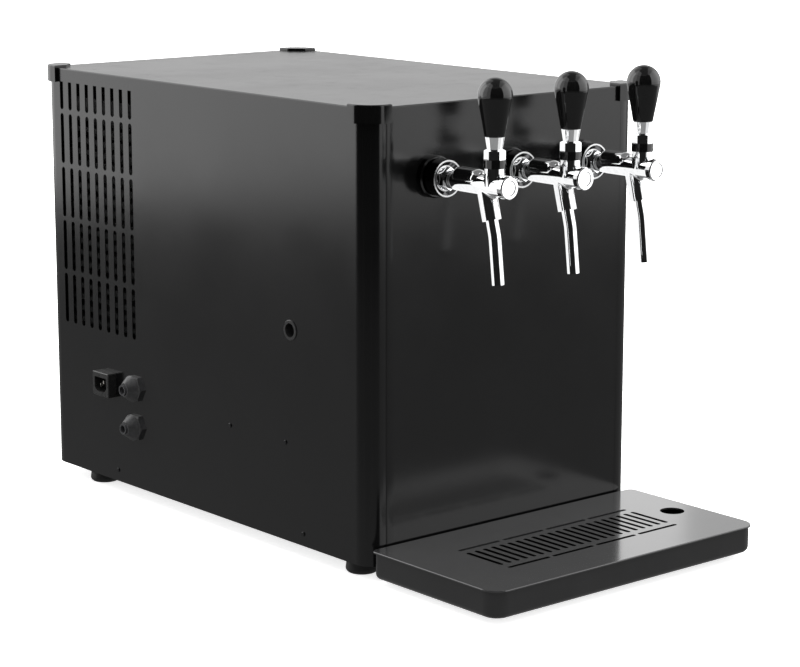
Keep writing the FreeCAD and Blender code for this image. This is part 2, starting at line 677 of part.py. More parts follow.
def side_panel(label, side):
    """Upright side panel, bent round both its corners; side is "-" on the left and "" on the right."""
    body = new_body(label)
    face = side + "(case_width/2)"
    turn_in = side + "(case_width/2 - corner_radius - corner_return)"
    inside = side + "(case_width/2 - sheet_metal)"
    bend = side + "(case_width/2 - corner_radius)"
    back = "(case_depth - sheet_metal)"
    outer, inner = ("-", "") if side else ("", "-")
    outer += "corner_radius"
    inner += "(corner_radius - sheet_metal)"
    section = outline(new_sketch(body, "XY", "foot_height"), [
        (turn_in, "0"), (bend, "0"), (face, "corner_radius", outer), (face, "case_depth - corner_radius"),
        (bend, "case_depth", outer), (turn_in, "case_depth"), (turn_in, back), (bend, back),
        (inside, "case_depth - corner_radius", inner), (inside, "corner_radius"),
        (bend, "sheet_metal", inner), (turn_in, "sheet_metal")])
    pad(body, section, "panel_height")
    column = new_sketch(body, "YZ", face)
    y = "case_depth - vent_first"
    half = "vent_width/2"
    for row in range(int(sheet.vent_rows)):
        low = "vent_floor + %d*vent_row_pitch" % row
        if value(low + " + vent_length") < value(PANEL_TOP):
            slot(column, y, low, y, low + " + vent_length", "vent_width")
        else:
            near = y + " - " + half
            far = y + " + " + half
            low += " + " + half
            open_end = PANEL_TOP + " + cut_past"
            outline(column, [(near, low), (far, low, half), (far, open_end), (near, open_end)])
    vents = pocket(body, column, "4*sheet_metal", both=True)
    row_of(body, vents, "Y", "vent_pitch*(vent_columns - 1)", "vent_columns").Reversed = True
    doc.recompute()
    holes = new_sketch(body, "YZ", face)
    for y in SIDE_SCREWS:
        circle(holes, y, "side_screw_height", "screw_radius + screw_fit")
    for y in LUGS:
        circle(holes, y, "lug_height", "screw_radius + screw_fit")
    if side:
        circle(holes, "dial_from_front", "dial_height", "bezel_neck + screw_fit")
        for z in ("fitting_low", "fitting_high"):
            circle(holes, FITTING_Y, z, "fitting_thread + screw_fit")
        inlet_box(holes, "(inlet_inner_wide + 2*screw_fit)", "(inlet_inner_tall + 2*screw_fit)")
    pocket(body, holes, "4*sheet_metal", both=True)
    node(body)


def end_panel(label, near, inward):
    """Front or rear panel with turned-in edges; near is its outer face, inward the way into the casing."""
    body = new_body(label)

    def deep(distance):
        return "%s %s %s" % (near, inward, distance)
    face = new_sketch(body, "XY", "foot_height")
    box_outline(face, "-" + PANEL_HALF, PANEL_HALF, near, deep("sheet_metal"))
    pad(body, face, "panel_height")
    for side in ("-", ""):
        edge = new_sketch(body, "XY", "foot_height + return_inset")
        box_outline(edge, side + PANEL_HALF, side + "(%s - sheet_metal)" % PANEL_HALF,
                    deep("sheet_metal"), deep("panel_return"))
        pad(body, edge, "panel_height - 2*return_inset")
    doc.recompute()
    return body


def front_panel():
    """Front panel, bored for the three tap shanks."""
    body = end_panel("front_panel", "0", "+")
    holes = new_sketch(body, "XZ")
    for x in ("-" + TAP_X, "0", TAP_X):
        circle(holes, x, "tap_height", "shank_radius + screw_fit")
    pocket(body, holes, "4*sheet_metal", both=True)
    node(body)


def rear_panel():
    """Rear panel with two rows of vent slots, its fixing holes and the hole of the rear hose fitting."""
    body = end_panel("rear_panel", "case_depth", "-")
    column = new_sketch(body, "XZ", "-case_depth")
    x = "vent_pitch*(rear_vent_columns - 1)/2"
    for row in range(int(sheet.rear_vent_rows)):
        low = "vent_floor + %d*vent_row_pitch" % (row + 1)
        slot(column, x, low, x, low + " + vent_length", "vent_width")
    vents = pocket(body, column, "4*sheet_metal", both=True)
    row_of(body, vents, "X", "vent_pitch*(rear_vent_columns - 1)", "rear_vent_columns").Reversed = True
    doc.recompute()
    holes = new_sketch(body, "XZ", "-case_depth")
    for x in ("-rear_screw_x", "rear_screw_x"):
        circle(holes, x, "rear_screw_height", "screw_radius + screw_fit")
    circle(holes, "-rear_fitting_x", "rear_fitting_height", "fitting_thread + screw_fit")
    pocket(body, holes, "4*sheet_metal", both=True)
    node(body)


def top_lid():
    """Lid pressed from one sheet: flat top, rounded corners and a rim turned down to the seam."""
    body = new_body("top_lid")
    block = box_outline(new_sketch(body, "XY", PANEL_TOP), "-" + HALF, HALF, "0", "case_depth")
    pad(body, block, "lid_height")
    corners = [("-" + HALF, "0"), (HALF, "0"), (HALF, "case_depth"), ("-" + HALF, "case_depth")]
    dress("Fillet", body, "corner_radius", upright_at(corners))
    dress("Fillet", body, "edge_round", level_at(LID_TOP))
    hollow = new_sketch(body, "XY", PANEL_TOP)
    bend = "(corner_radius - sheet_metal)"
    round_box(hollow, "(case_width/2 - sheet_metal)", "sheet_metal", "(case_depth - sheet_metal)", bend, bend)
    pocket(body, hollow, "lid_height - sheet_metal", back=True)
    node(body)


def corner_cap(label, x, y, angle):
    """Moulded cap over one corner of the lid: a skirt round the corner and a bevelled plate on top."""
    body = new_body(label)
    block = new_sketch(body, "XY", "-cap_skirt")
    box_outline(block, "-cap_proud", "cap_leg", "-cap_proud", "cap_leg")
    pad(body, block, "cap_skirt + cap_plate")
    dress("Fillet", body, "corner_radius + cap_proud", upright_at([("-cap_proud", "-cap_proud")]))
    dress("Fillet", body, "edge_round", level_at("cap_plate"))
    room = "-cap_clearance"
    hollow = new_sketch(body, "XY", "-cap_skirt")
    past = "cap_leg + cut_past"
    outline(hollow, [(room, past), (room, "corner_radius"),
                     ("corner_radius", room, "corner_radius + cap_clearance"), (past, room), (past, past)])
    pocket(body, hollow, "cap_skirt", back=True)
    bevel = new_sketch(body, "XY")
    outline(bevel, [(past, "cap_leg - cap_cut"), (past, past), ("cap_leg - cap_cut", past)])
    pocket(body, bevel, "cap_plate + cut_past", back=True)
    node(body, x, y, LID_TOP, FreeCAD.Rotation(V(0, 0, 1), angle))


def foot(x, y):
    """Round rubber foot under the pan."""
    corners = [("0", "0"), ("foot_radius", "0"), ("foot_top_radius", "foot_height"), ("0", "foot_height")]
    body = lathe("foot", "XZ", "V", corners)
    dress("Fillet", body, "foot_round", level_at("0"))
    return place(body, x, y)


def screw(x, y, z, rotation, length="screw_length"):
    """Pan-head screw along its own z axis, with its head's seat at z = 0."""
    corners = [("0", "-(%s)" % length), ("screw_radius", "-(%s)" % length), ("screw_radius", "0"),
               ("screw_head", "0"), ("screw_head", "screw_head_thick"), ("0", "screw_head_thick")]
    body = lathe("screw", "XZ", "V", corners)
    dress("Chamfer", body, "screw_head_thick/2", level_at("screw_head_thick"))
    return place(body, x, y, z, rotation)


def casing():
    """The painted casing with its caps, feet and screws."""
    base_pan()
    side_panel("left_side_panel", "-")
    side_panel("right_side_panel", "")
    front_panel()
    rear_panel()
    top_lid()
    corner_cap("front_left_cap", "-" + HALF, "0", 0)
    corner_cap("front_right_cap", HALF, "0", 90)
    corner_cap("rear_right_cap", HALF, "case_depth", 180)
    corner_cap("rear_left_cap", "-" + HALF, "case_depth", 270)
    feet = []
    for side in ("-", ""):
        for y in ("foot_inset_front", "case_depth - foot_inset_rear"):
            feet.append(foot(side + "(case_width/2 - foot_inset_side)", y))
    group("feet", feet)
    screws = []
    for x, rotation in (("-" + HALF, LEFT), (HALF, RIGHT)):
        for y in SIDE_SCREWS:
            screws.append(screw(x, y, "side_screw_height", rotation))
        for y in LUGS:
            screws.append(screw(x, y, "lug_height", rotation, "2*screw_length"))
    for side in ("-", ""):
        screws.append(screw(side + "rear_screw_x", "case_depth", "rear_screw_height", BACK))
        for y in BRACKET_SCREWS:
            screws.append(screw(side + "bracket_screw_x", y, "foot_height - bracket_sheet", DOWN))
    group("casing_screws", screws)


# ================================================================ taps
def tap_shank():
    """Threaded shank with its wall flange, the boss for the coupling nut and a socket for the beer line."""
    return lathe("shank", "YZ", "H", [
        ("shank_tail", "line_radius + line_fit"), ("shank_tail", "shank_radius"), ("0", "shank_radius"),
        ("0", "flange_radius"), ("-flange_thick + edge_round", "flange_radius"),
        ("-flange_thick", "flange_radius - edge_round"), ("-flange_thick", "boss_radius"),
        ("-boss_length", "boss_radius"), ("-boss_length", "shank_bore"),
        ("shank_tail - shank_socket", "shank_bore"), ("shank_tail - shank_socket", "line_radius + line_fit")])


def shank_nut():
    """Hexagonal nut that holds the shank from behind the panel."""
    body = new_body("shank_nut")
    pad(body, hexagon(new_sketch(body, "XZ", "-sheet_metal"), "nut_flats"), "nut_thick", back=True)
    bore = circle(new_sketch(body, "XZ", "-sheet_metal"), "0", "0", "shank_radius + thread_gap")
    pocket(body, bore, "nut_thick")
    return body


def coupling_nut():
    """Round coupling nut: thread behind, an inward lip, and an open cup with a bright rim in front."""
    lip_back = "-(boss_length + tail_flange)"
    lip_front = "-(boss_length + tail_flange + coupling_lip)"
    return lathe("coupling_nut", "YZ", "H", [
        ("-coupling_start", "boss_radius + thread_gap"), ("-coupling_start", "coupling_radius - edge_round"),
        ("-coupling_start - edge_round", "coupling_radius"), ("-coupling_front", "coupling_radius"),
        ("-coupling_front", "coupling_radius - coupling_rim"), (lip_front, "boss_radius"),
        (lip_front, "neck_hex/sqrt(3) + thread_gap"), (lip_back, "neck_hex/sqrt(3) + thread_gap"),
        (lip_back, "boss_radius + thread_gap")])


def tap_body():
    """Cast tap body: neck, spanner flats, raised barrel, lever boss and leaning spout socket, bored for the
    valve stem, the ball and the beer way."""
    body = new_body("tap_body")
    neck = "-(boss_length + tail_flange)"
    turn("Revolution", body, outline(new_sketch(body, "YZ"), [
        ("-boss_length", "0"), ("-boss_length", "tail_flange_radius"), (neck, "tail_flange_radius"),
        (neck, "neck_radius"), ("-barrel_start + barrel_radius", "neck_radius"),
        ("-barrel_start", "body_radius"), ("-body_end", "body_radius"), ("-body_end", "0")]), "H")
    spout_cylinder(body, "Additive", "0", "socket_radius", "socket_length")
    dress("Fillet", body, "socket_blend", round_the_socket())
    flats = new_sketch(body, "XZ", "boss_length + tail_flange + coupling_lip")
    pad(body, hexagon(flats, "neck_hex"), "neck_hex_length")
    turn("Revolution", body, outline(new_sketch(body, "YZ", "0", "barrel_rise"), [
        ("-barrel_start + barrel_radius", "0"), ("-barrel_start", "barrel_radius", "barrel_radius"),
        ("-barrel_end", "barrel_radius"), ("-barrel_end - barrel_radius", "0", "barrel_radius")]), "H")
    pad(body, circle(new_sketch(body, "XY"), "0", "-lever_out", "bonnet_boss"), "boss_top")
    start = "-boss_length + cut_past"
    seat_front = "-seat_back - seat_thick"
    end = "-body_end - cut_past"
    groove(body, "YZ", "H", [
        (start, "0"), (start, "chamber_radius"), ("-seat_back", "chamber_radius"),
        ("-seat_back", "seat_radius"), (seat_front, "seat_radius"), (seat_front, "chamber_radius"),
        (end, "chamber_radius"), (end, "0")])
    ball_room = circle(new_sketch(body, "XY"), "0", "-lever_out", "ball_radius + ball_gap")
    pocket(body, ball_room, "boss_top + cut_past", back=True)
    past = "socket_length + cut_past"
    spout_cylinder(body, "Subtractive", "0", "spout_radius - spout_wall", past)
    spout_cylinder(body, "Subtractive", "socket_length - socket_depth", "spout_radius + line_fit", past)
    return body


def spout_cylinder(body, kind, start, radius, end):
    """A cylinder added or cut along the spout's upper axis, from one distance along it to another."""
    tool = body.newObject("PartDesign::%sCylinder" % kind, body.Name + "_spout")
    tool.Placement.Rotation = DOWN
    bind(tool, ".Placement.Rotation.Angle", "180 - spout_lean")
    bind(tool, ".Placement.Base.y", "-spout_root - (%s)*sin(spout_lean)" % start)
    bind(tool, ".Placement.Base.z", "-(%s)*cos(spout_lean)" % start)
    bind(tool, "Radius", radius)
    bind(tool, "Height", "%s - (%s)" % (end, start))
    body.Tip = tool
    doc.recompute()


def round_the_socket(reach=0.02):
    """Picks the edge where the spout socket leaves the tap body."""
    radius = value("socket_radius")
    end = value("socket_length")
    lean = math.radians(value("spout_lean"))
    root = V(0, -value("spout_root"), 0)
    axis = V(0, -math.sin(lean), -math.cos(lean))

    def wanted(edge):
        length = edge.LastParameter - edge.FirstParameter
        for share in (0, 0.25, 0.5, 0.75, 1):
            spot = edge.valueAt(edge.FirstParameter + share * length) - root
            along = spot.dot(axis)
            if along > end - reach or abs((spot - axis * along).Length - radius) > reach:
                return False
        return True
    return wanted


def nose_cap():
    """Screwed cap that closes the front of the valve chamber and guides the stem; its face is dished."""
    plug = "-body_end + plug_length"
    thread = "chamber_radius - thread_gap"
    return lathe("nose_cap", "YZ", "H", [
        (plug, "stem_radius + stem_fit"), (plug, thread), ("-body_end", thread), ("-body_end", "nose_radius"),
        ("-nose_end + nose_bevel", "nose_radius"), ("-nose_end", "nose_radius - nose_bevel"),
        ("-nose_end", "nose_dish_radius"), ("-nose_end + nose_dish", "nose_dish_radius - nose_dish"),
        ("-nose_end + nose_dish", "0"), ("-nose_end + nose_web", "0"),
        ("-nose_end + nose_web", "stem_radius + stem_fit")])


def valve_stem():
    """Valve stem: rubber-faced head behind the seat, a slotted yoke for the lever's finger, and a front
    guide."""
    head = "-seat_back + head_thick"
    yoke_back = "-lever_out + yoke_half_length"
    yoke_front = "-lever_out - yoke_half_length"
    tip = "-nose_end + 2*nose_web"
    body = lathe("stem", "YZ", "H", [
        (head, "0"), (head, "head_radius"), ("-seat_back", "head_radius"), ("-seat_back", "stem_radius"),
        (yoke_back, "stem_radius"), (yoke_back, "yoke_radius"), (yoke_front, "yoke_radius"),
        (yoke_front, "stem_radius"), (tip, "stem_radius"), (tip, "0")])
    way = new_sketch(body, "YZ")
    box_outline(way, "-lever_out - yoke_slot/2", "-lever_out + yoke_slot/2",
                "-(finger_radius + ball_gap)", "yoke_radius + cut_past")
    pocket(body, way, "2*finger_radius + 2*ball_gap", both=True)
    top = new_sketch(body, "YZ")
    box_outline(top, "-lever_out - 2*yoke_half_length", "-lever_out + 2*yoke_half_length",
                "yoke_top", "yoke_radius + cut_past")
    pocket(body, top, "2*(yoke_radius + cut_past)", both=True)
    return body


def bonnet():
    """Domed bonnet nut over the lever's ball, with a slot for the rod."""
    inner = "sqrt(pow(ball_radius + ball_gap; 2) - pow(boss_top - pivot_rise; 2))"
    edge = "(pivot_rise + sqrt(pow(dome_radius; 2) - pow(bonnet_radius; 2)))"
    body = lathe("bonnet", "XZ", "V", [
        (inner, "boss_top", "-(ball_radius + ball_gap)"), ("bonnet_radius", "boss_top"),
        ("bonnet_radius", edge), ("0", "pivot_rise + dome_radius", "dome_radius"),
        ("0", "pivot_rise + ball_radius + ball_gap")])
    way = new_sketch(body, "YZ")
    side = "(lever_rod + ball_gap)"
    out = "(2*dome_radius)"
    outline(way, [(side, "pivot_rise"), (side, "pivot_rise + " + out),
                  ("-%s*sin(lever_open) - %s*cos(lever_open)" % (out, side),
                   "pivot_rise + %s*cos(lever_open) - %s*sin(lever_open)" % (out, side)),
                  ("-%s*cos(lever_open)" % side, "pivot_rise - %s*sin(lever_open)" % side)])
    pocket(body, way, "2*lever_rod + 2*ball_gap", both=True)
    return body


def lever():
    """Lever: finger, ball, rod, hexagonal collar, flared ferrule and the knob's stud, in one piece."""
    waist = "sqrt(pow(ball_radius; 2) - pow(finger_neck; 2))"
    neck = "sqrt(pow(ball_radius; 2) - pow(lever_rod; 2))"
    body = lathe("lever", "XZ", "V", [
        ("0", "-finger_radius"), ("finger_radius", "0", "finger_radius"),
        ("finger_neck", "sqrt(pow(finger_radius; 2) - pow(finger_neck; 2))", "finger_radius"),
        ("finger_neck", "pivot_rise - " + waist), ("ball_radius", "pivot_rise", "ball_radius"),
        ("lever_rod", "pivot_rise + " + neck, "ball_radius"), ("lever_rod", "cup_top"),
        ("ferrule_foot", "cup_top"), ("ferrule_foot", "collar_top"), ("ferrule_head", "ferrule_top"),
        ("stud_radius", "ferrule_top"), ("stud_radius", "ferrule_top + stud_length"),
        ("0", "ferrule_top + stud_length")])
    collar = hexagon(new_sketch(body, "XY", "cup_top"), "collar_flats")
    bind(collar, "AttachmentOffset.Rotation.Angle", "-collar_turn")
    pad(body, collar, "collar_top - cup_top")
    crown_hexagon(body, "collar_flats", "collar_top")
    return body


def crown_hexagon(body, flats, top):
    """Turns down the upper corners of an upright hexagon, as on a nut."""
    flat = "(%s)/2" % flats
    past = "((%s)/sqrt(3) + cut_past)" % flats
    groove(body, "XZ", "V", [
        (flat, top), (past, "%s - (%s - %s)*tan(crown_angle)" % (top, past, flat)), (past, top)])


def lever_cup():
    """Black cup on the lever that rides over the bonnet's dome."""
    inner = "(dome_radius + cup_gap)"
    bore = "(lever_rod + thread_gap)"
    return lathe("lever_cup", "XZ", "V", [
        ("cup_radius", "pivot_rise + sqrt(pow(%s; 2) - pow(cup_radius; 2))" % inner, "-" + inner),
        ("cup_radius", "cup_top"), (bore, "cup_top"),
        (bore, "pivot_rise + sqrt(pow(%s; 2) - pow(%s; 2))" % (inner, bore))])


def knob():
    """Tap knob: a tall cone that runs smoothly into a round head, bored for the lever's stud."""
    rise = "(knob_top - knob_radius - ferrule_top - knob_bevel)"
    reach = "sqrt(pow(%s; 2) + pow(knob_foot; 2))" % rise
    slope = "(asin(knob_radius/%s) - asin(knob_foot/%s))" % (reach, reach)
    run = "sqrt(pow(%s; 2) + pow(knob_foot; 2) - pow(knob_radius; 2))" % rise
    return lathe("knob", "XZ", "V", [
        ("knob_foot - knob_bevel", "ferrule_top"), ("knob_foot", "ferrule_top + knob_bevel"),
        ("knob_foot + %s*sin(%s)" % (run, slope), "ferrule_top + knob_bevel + %s*cos(%s)" % (run, slope)),
        ("0", "knob_top", "knob_radius"), ("0", "ferrule_top + stud_length + thread_gap"),
        ("stud_radius + thread_gap", "ferrule_top + stud_length + thread_gap"),
        ("stud_radius + thread_gap", "ferrule_top")])


def spout():
    """Spout tube: a straight run in its socket, a gentle bend, and the lower run down to the mouth."""
    body = new_body("spout")
    turned = "(spout_lean - spout_lower_lean)"
    corner = "(socket_length + spout_upper)"
    short = "(spout_bend*tan(%s/2))" % turned
    top = "-(socket_length - socket_depth)"
    route = outline(new_sketch(body, "YZ"), [
        ("0", top), ("0", "-%s + %s" % (corner, short)),
        ("%s*sin(%s)" % (short, turned), "-%s - %s*cos(%s)" % (corner, short, turned), "spout_bend"),
        ("spout_lower*sin(%s)" % turned, "-%s - spout_lower*cos(%s)" % (corner, turned))], closed=False)
    ring = new_sketch(body, "XY", top)
    circle(ring, "0", "0", "spout_radius")
    circle(ring, "0", "0", "spout_radius - spout_wall")
    return sweep(body, ring, route)


def sweep(body, section, route):
    """A section carried along a route."""
    pipe = body.newObject("PartDesign::AdditivePipe", body.Name + "_pipe")
    pipe.Profile = section
    pipe.Spine = (route, ["Edge%d" % (i + 1) for i in range(route.GeometryCount)])
    body.Tip = pipe
    doc.recompute()
    return body


def taps():
    """The three taps.  Each has its own shank, body, spout, lever and valve; their plain nuts and nose
    caps are grouped."""
    nuts = []
    couplings = []
    bonnets = []
    noses = []
    for side, x in (("left", "-" + TAP_X), ("middle", "0"), ("right", TAP_X)):
        single(tap_shank(), side + "_tap_shank", x)
        single(tap_body(), side + "_tap_body", x)
        single(valve_stem(), side + "_tap_valve_stem", x)
        single(lever(), side + "_tap_lever", x, "-lever_out")
        single(lever_cup(), side + "_tap_lever_cup", x, "-lever_out")
        single(knob(), side + "_tap_knob", x, "-lever_out")
        tube = single(spout(), side + "_tap_spout", x, "-spout_root", DOWN)
        bind(tube, ".Placement.Rotation.Angle", "-spout_lean")
        nuts.append(place(shank_nut(), x, "0", "tap_height"))
        couplings.append(place(coupling_nut(), x, "0", "tap_height"))
        bonnets.append(place(bonnet(), x, "-lever_out", "tap_height"))
        noses.append(place(nose_cap(), x, "0", "tap_height"))
    group("shank_nuts", nuts)
    group("coupling_nuts", couplings)
    group("bonnet_nuts", bonnets)
    group("nose_caps", noses)


def single(body, label, x, y="0", rotation=None):
    """One piece of a tap, named for its side and set at the tap's axis."""
    body.Label = label
    return node(body, x, y, "tap_height", rotation)


# ================================================================ drip tray
TRAY_HALF = "(case_width/2 + tray_overhang)"


def tray_tub():
    """Moulded tub that catches the drips, with two pegs that drop into the bracket."""
    body = new_body("tray_tub")
    half = "(%s - lid_lip)" % TRAY_HALF
    near = "-(tray_gap + lid_lip)"
    far = "-(tray_gap + tray_depth - lid_lip)"
    pad(body, box_outline(new_sketch(body, "XY", "tray_floor"), "-" + half, half, far, near), "tub_height")
    dress("Fillet", body, "tub_corner", upright_at([("-" + half, far), (half, far)]))
    dress("Fillet", body, "tub_rear_corner", upright_at([("-" + half, near), (half, near)]))
    dress("Fillet", body, "tub_round", level_at("tray_floor"))
    hollow_out(body, "tub_wall", level_at("tray_floor + tub_height"))
    pegs = new_sketch(body, "XY", "tray_floor")
    for x in ("-peg_spacing/2", "peg_spacing/2"):
        circle(pegs, x, "-peg_out", "peg_radius")
    pad(body, pegs, "peg_length", back=True)
    node(body)


def hollow_out(body, wall, wanted):
    """Shell the body from the face whose edges all lie where wanted says."""
    doc.recompute()
    base = body.Tip
    faces = []
    for i, face in enumerate(base.Shape.Faces):
        if all(wanted(edge) for edge in face.Edges):
            faces.append("Face%d" % (i + 1))
    if len(faces) != 1:
        raise RuntimeError("%s has %d faces to open" % (body.Label, len(faces)))
    shell = body.newObject("PartDesign::Thickness", body.Name + "_shell")
    shell.Base = (base, faces)
    bind(shell, "Value", wall)
    shell.Reversed = True
    body.Tip = shell
    doc.recompute()


def tray_lid():
    """Tray lid: rounded plate with drain slots, border slots, a finger hole and a locating rim."""
    body = new_body("tray_lid")
    half = TRAY_HALF
    near = "-tray_gap"
    far = "-(tray_gap + tray_depth)"
    floor = "(tray_floor + tub_height)"
    top = floor + " + lid_plate"
    pad(body, box_outline(new_sketch(body, "XY", floor), "-" + half, half, far, near), "lid_plate")
    dress("Fillet", body, "tub_corner + lid_lip", upright_at([("-" + half, far), (half, far)]))
    dress("Fillet", body, "tub_rear_corner", upright_at([("-" + half, near), (half, near)]))
    dress("Fillet", body, "lid_plate/2", level_at(top))
    slots = new_sketch(body, "XY", top)
    first = "-grille_pitch*(grille_slots - 1)/2"
    slot(slots, first, "-grille_front", first, "-grille_rear", "grille_slot")
    drains = pocket(body, slots, "2*lid_plate")
    row_of(body, drains, "X", "grille_pitch*(grille_slots - 1)", "grille_slots")
    doc.recompute()
    border = new_sketch(body, "XY", top)
    left = "(-border_pitch*(border_slots - 1)/2)"
    for y in ("-(grille_front + border_offset)", "-(grille_rear - border_offset)"):
        slot(border, "%s - border_length/2" % left, y, "%s + border_length/2" % left, y, "border_slot")
    strips = pocket(body, border, "2*lid_plate")
    row_of(body, strips, "X", "border_pitch*(border_slots - 1)", "border_slots")
    doc.recompute()
    hole = new_sketch(body, "XY", top)
    circle(hole, half + " - finger_hole_inset", "-finger_hole_out", "finger_hole")
    pocket(body, hole, "2*lid_plate")
    rim = new_sketch(body, "XY", floor)
    for grow in ("0", "lid_plate/2"):
        inset = "(lid_lip + tub_wall + lid_rim_gap + %s)" % grow
        round_box(rim, "(%s - %s)" % (half, inset), "(%s + %s)" % (far, inset),
                  "(%s - %s)" % (near, inset), "(tub_corner + lid_lip - %s)" % inset,
                  "(tub_rear_corner + lid_lip - %s)" % inset)
    pad(body, rim, "lid_rim", back=True)
    node(body)


def tray_bracket():
    """Bent sheet screwed under the casing: it steps down and carries the tub in front."""
    body = new_body("tray_bracket")
    step = "-(bracket_gap + bracket_sheet)"
    side_view = outline(new_sketch(body, "YZ"), [
        ("bracket_tail", "foot_height - bracket_sheet"), ("bracket_tail", "foot_height"),
        (step, "foot_height"), (step, "tray_floor"), ("-bracket_reach", "tray_floor"),
        ("-bracket_reach", "tray_floor - bracket_sheet"), ("-bracket_gap", "tray_floor - bracket_sheet"),
        ("-bracket_gap", "foot_height - bracket_sheet")])
    pad(body, side_view, "bracket_width", both=True)
    holes = new_sketch(body, "XY")
    for x in ("-bracket_screw_x", "bracket_screw_x"):
        for y in BRACKET_SCREWS:
            circle(holes, x, y, "screw_radius + screw_fit")
    for x in ("-peg_spacing/2", "peg_spacing/2"):
        circle(holes, x, "-peg_out", "peg_radius + peg_gap")
    pocket(body, holes, "foot_height", back=True)
    node(body)


# ================================================================ connections and thermostat
def power_inlet():
    """Mains inlet: a moulded housing outside the panel, its body behind it, and the socket's cavity."""
    body = new_body("power_inlet")
    wall = "-" + HALF
    outer = new_sketch(body, "YZ", wall)
    inlet_box(outer, "inlet_wide", "inlet_tall")
    pad(body, outer, "inlet_proud", back=True)
    deep = value("inlet_proud")
    dress("Fillet", body, "inlet_corner", lambda edge: abs(edge.BoundBox.XLength - deep) < 0.01)
    front_face = value(wall + " - inlet_proud")
    dress("Chamfer", body, "inlet_edge", lambda edge: abs(edge.BoundBox.XMax - front_face) < 0.01)
    inner = new_sketch(body, "YZ", wall)
    inlet_box(inner, "inlet_inner_wide", "inlet_inner_tall")
    pad(body, inner, "inlet_inner_deep")
    mouth = new_sketch(body, "YZ", wall + " - inlet_proud")
    front = "(%s - inlet_cavity_wide/2)" % INLET_Y
    rear = "(%s + inlet_cavity_wide/2)" % INLET_Y
    low = "(inlet_height - inlet_cavity_tall/2)"
    high = "(inlet_height + inlet_cavity_tall/2)"
    step = low + " + inlet_bevel"
    outline(mouth, [(front + " + inlet_bevel", low), (rear + " - inlet_bevel", low), (rear, step),
                    (rear, high), (front, high), (front, step)])
    pocket(body, mouth, "inlet_cavity_deep", back=True)
    node(body)


def inlet_box(sketch, wide, tall):
    """A rectangle about the middle of the mains inlet."""
    box_outline(sketch, "%s - %s/2" % (INLET_Y, wide), "%s + %s/2" % (INLET_Y, wide),
                "inlet_height - %s/2" % tall, "inlet_height + %s/2" % tall)


def inlet_pins():
    """The inlet's three upright blade pins, the earth pin above the other two."""
    pins = []
    for across, lift in (("-pin_pitch", "-pin_drop"), ("0", "pin_drop"), ("pin_pitch", "-pin_drop")):
        body = new_body("pin")
        face = new_sketch(body, "YZ")
        box_outline(face, "-pin_thick/2", "pin_thick/2", "-pin_wide/2", "pin_wide/2")
        pad(body, face, "inlet_cavity_deep - pin_recess")
        pins.append(place(body, "pin_recess - inlet_proud - case_width/2", "%s + %s" % (INLET_Y, across),
                          "inlet_height + " + lift))
    group("inlet_pins", pins)


def hose_fitting():
    """Push-in hose fitting: threaded body, inner collar, waist and conical nose, bored for the collet and a
    line at each end."""
    bottom = "(fitting_reach - collet_length - collet_travel - collet_stop)"
    stop = "-(fitting_inner - fitting_socket)"
    way = "(line_radius + line_fit)"
    collar = "-sheet_metal - fitting_collar"
    waist = "fitting_nut_thick + fitting_groove"
    tip = "fitting_reach - nose_stop"
    room = "collet_radius + collet_gap"
    return lathe("hose_fitting", "XZ", "V", [
        (way, "-fitting_inner"), ("fitting_thread", "-fitting_inner"), ("fitting_thread", collar),
        ("fitting_collar_radius", collar), ("fitting_collar_radius", "-sheet_metal"),
        ("fitting_thread", "-sheet_metal"), ("fitting_thread", waist), ("nose_base", waist),
        ("nose_tip", tip), (room, tip), (room, bottom), (way, bottom), (way, "0"), ("line_bore", "0"),
        ("line_bore", stop), (way, stop)])


def release_collet():
    """Ring that is pushed in to let go of the line."""
    inner = "(collet_radius - collet_wall)"
    return lathe("release_collet", "XZ", "V", [
        (inner, "fitting_reach - collet_length"), ("collet_radius", "fitting_reach - collet_length"),
        ("collet_radius", "fitting_reach"), (inner, "fitting_reach")])


def fitting_nut():
    """Hexagonal nut outside the panel, with its outer corners turned down."""
    body = new_body("fitting_nut")
    pad(body, hexagon(new_sketch(body, "XY"), "fitting_nut_flats"), "fitting_nut_thick")
    bore = circle(new_sketch(body, "XY"), "0", "0", "fitting_thread + thread_gap")
    pocket(body, bore, "fitting_nut_thick", back=True)
    crown_hexagon(body, "fitting_nut_flats", "fitting_nut_thick")
    return body


def connections():
    """Mains inlet, thermostat and the three hose fittings."""
    power_inlet()
    inlet_pins()
    nuts = []
    for side, x, y, z, rotation in (
            ("upper", "-" + HALF, FITTING_Y, "fitting_high", LEFT),
            ("lower", "-" + HALF, FITTING_Y, "fitting_low", LEFT),
            ("rear", "-rear_fitting_x", "case_depth", "rear_fitting_height", BACK)):
        for piece, kind in ((hose_fitting(), "_hose_fitting"), (release_collet(), "_release_collet")):
            piece.Label = side + kind
            node(piece, x, y, z, rotation)
        nuts.append(place(fitting_nut(), x, y, z, rotation))
    group("fitting_nuts", nuts)


def thermostat():
    """Thermostat: bezel and neck through the panel, and the housing behind it."""
    body = lathe("thermostat", "XZ", "V", [
        ("bezel_bore", "-neck_length"), ("bezel_neck", "-neck_length"), ("bezel_neck", "0"),
        ("bezel_radius", "0"), ("bezel_radius", "bezel_thick/2"),
        ("bezel_radius - bezel_thick/2", "bezel_thick"), ("bezel_bore", "bezel_thick")])
    half = "thermostat_box/2"
    box = box_outline(new_sketch(body, "XY", "-neck_length"), "-" + half, half, "-" + half, half)
    pad(body, box, "thermostat_deep", back=True)
    bore = circle(new_sketch(body, "XY", "-neck_length"), "0", "0", "spindle_radius + spindle_fit")
    pocket(body, bore, "thermostat_deep/2")
    node(body, "-" + HALF, "dial_from_front", "dial_height", LEFT)


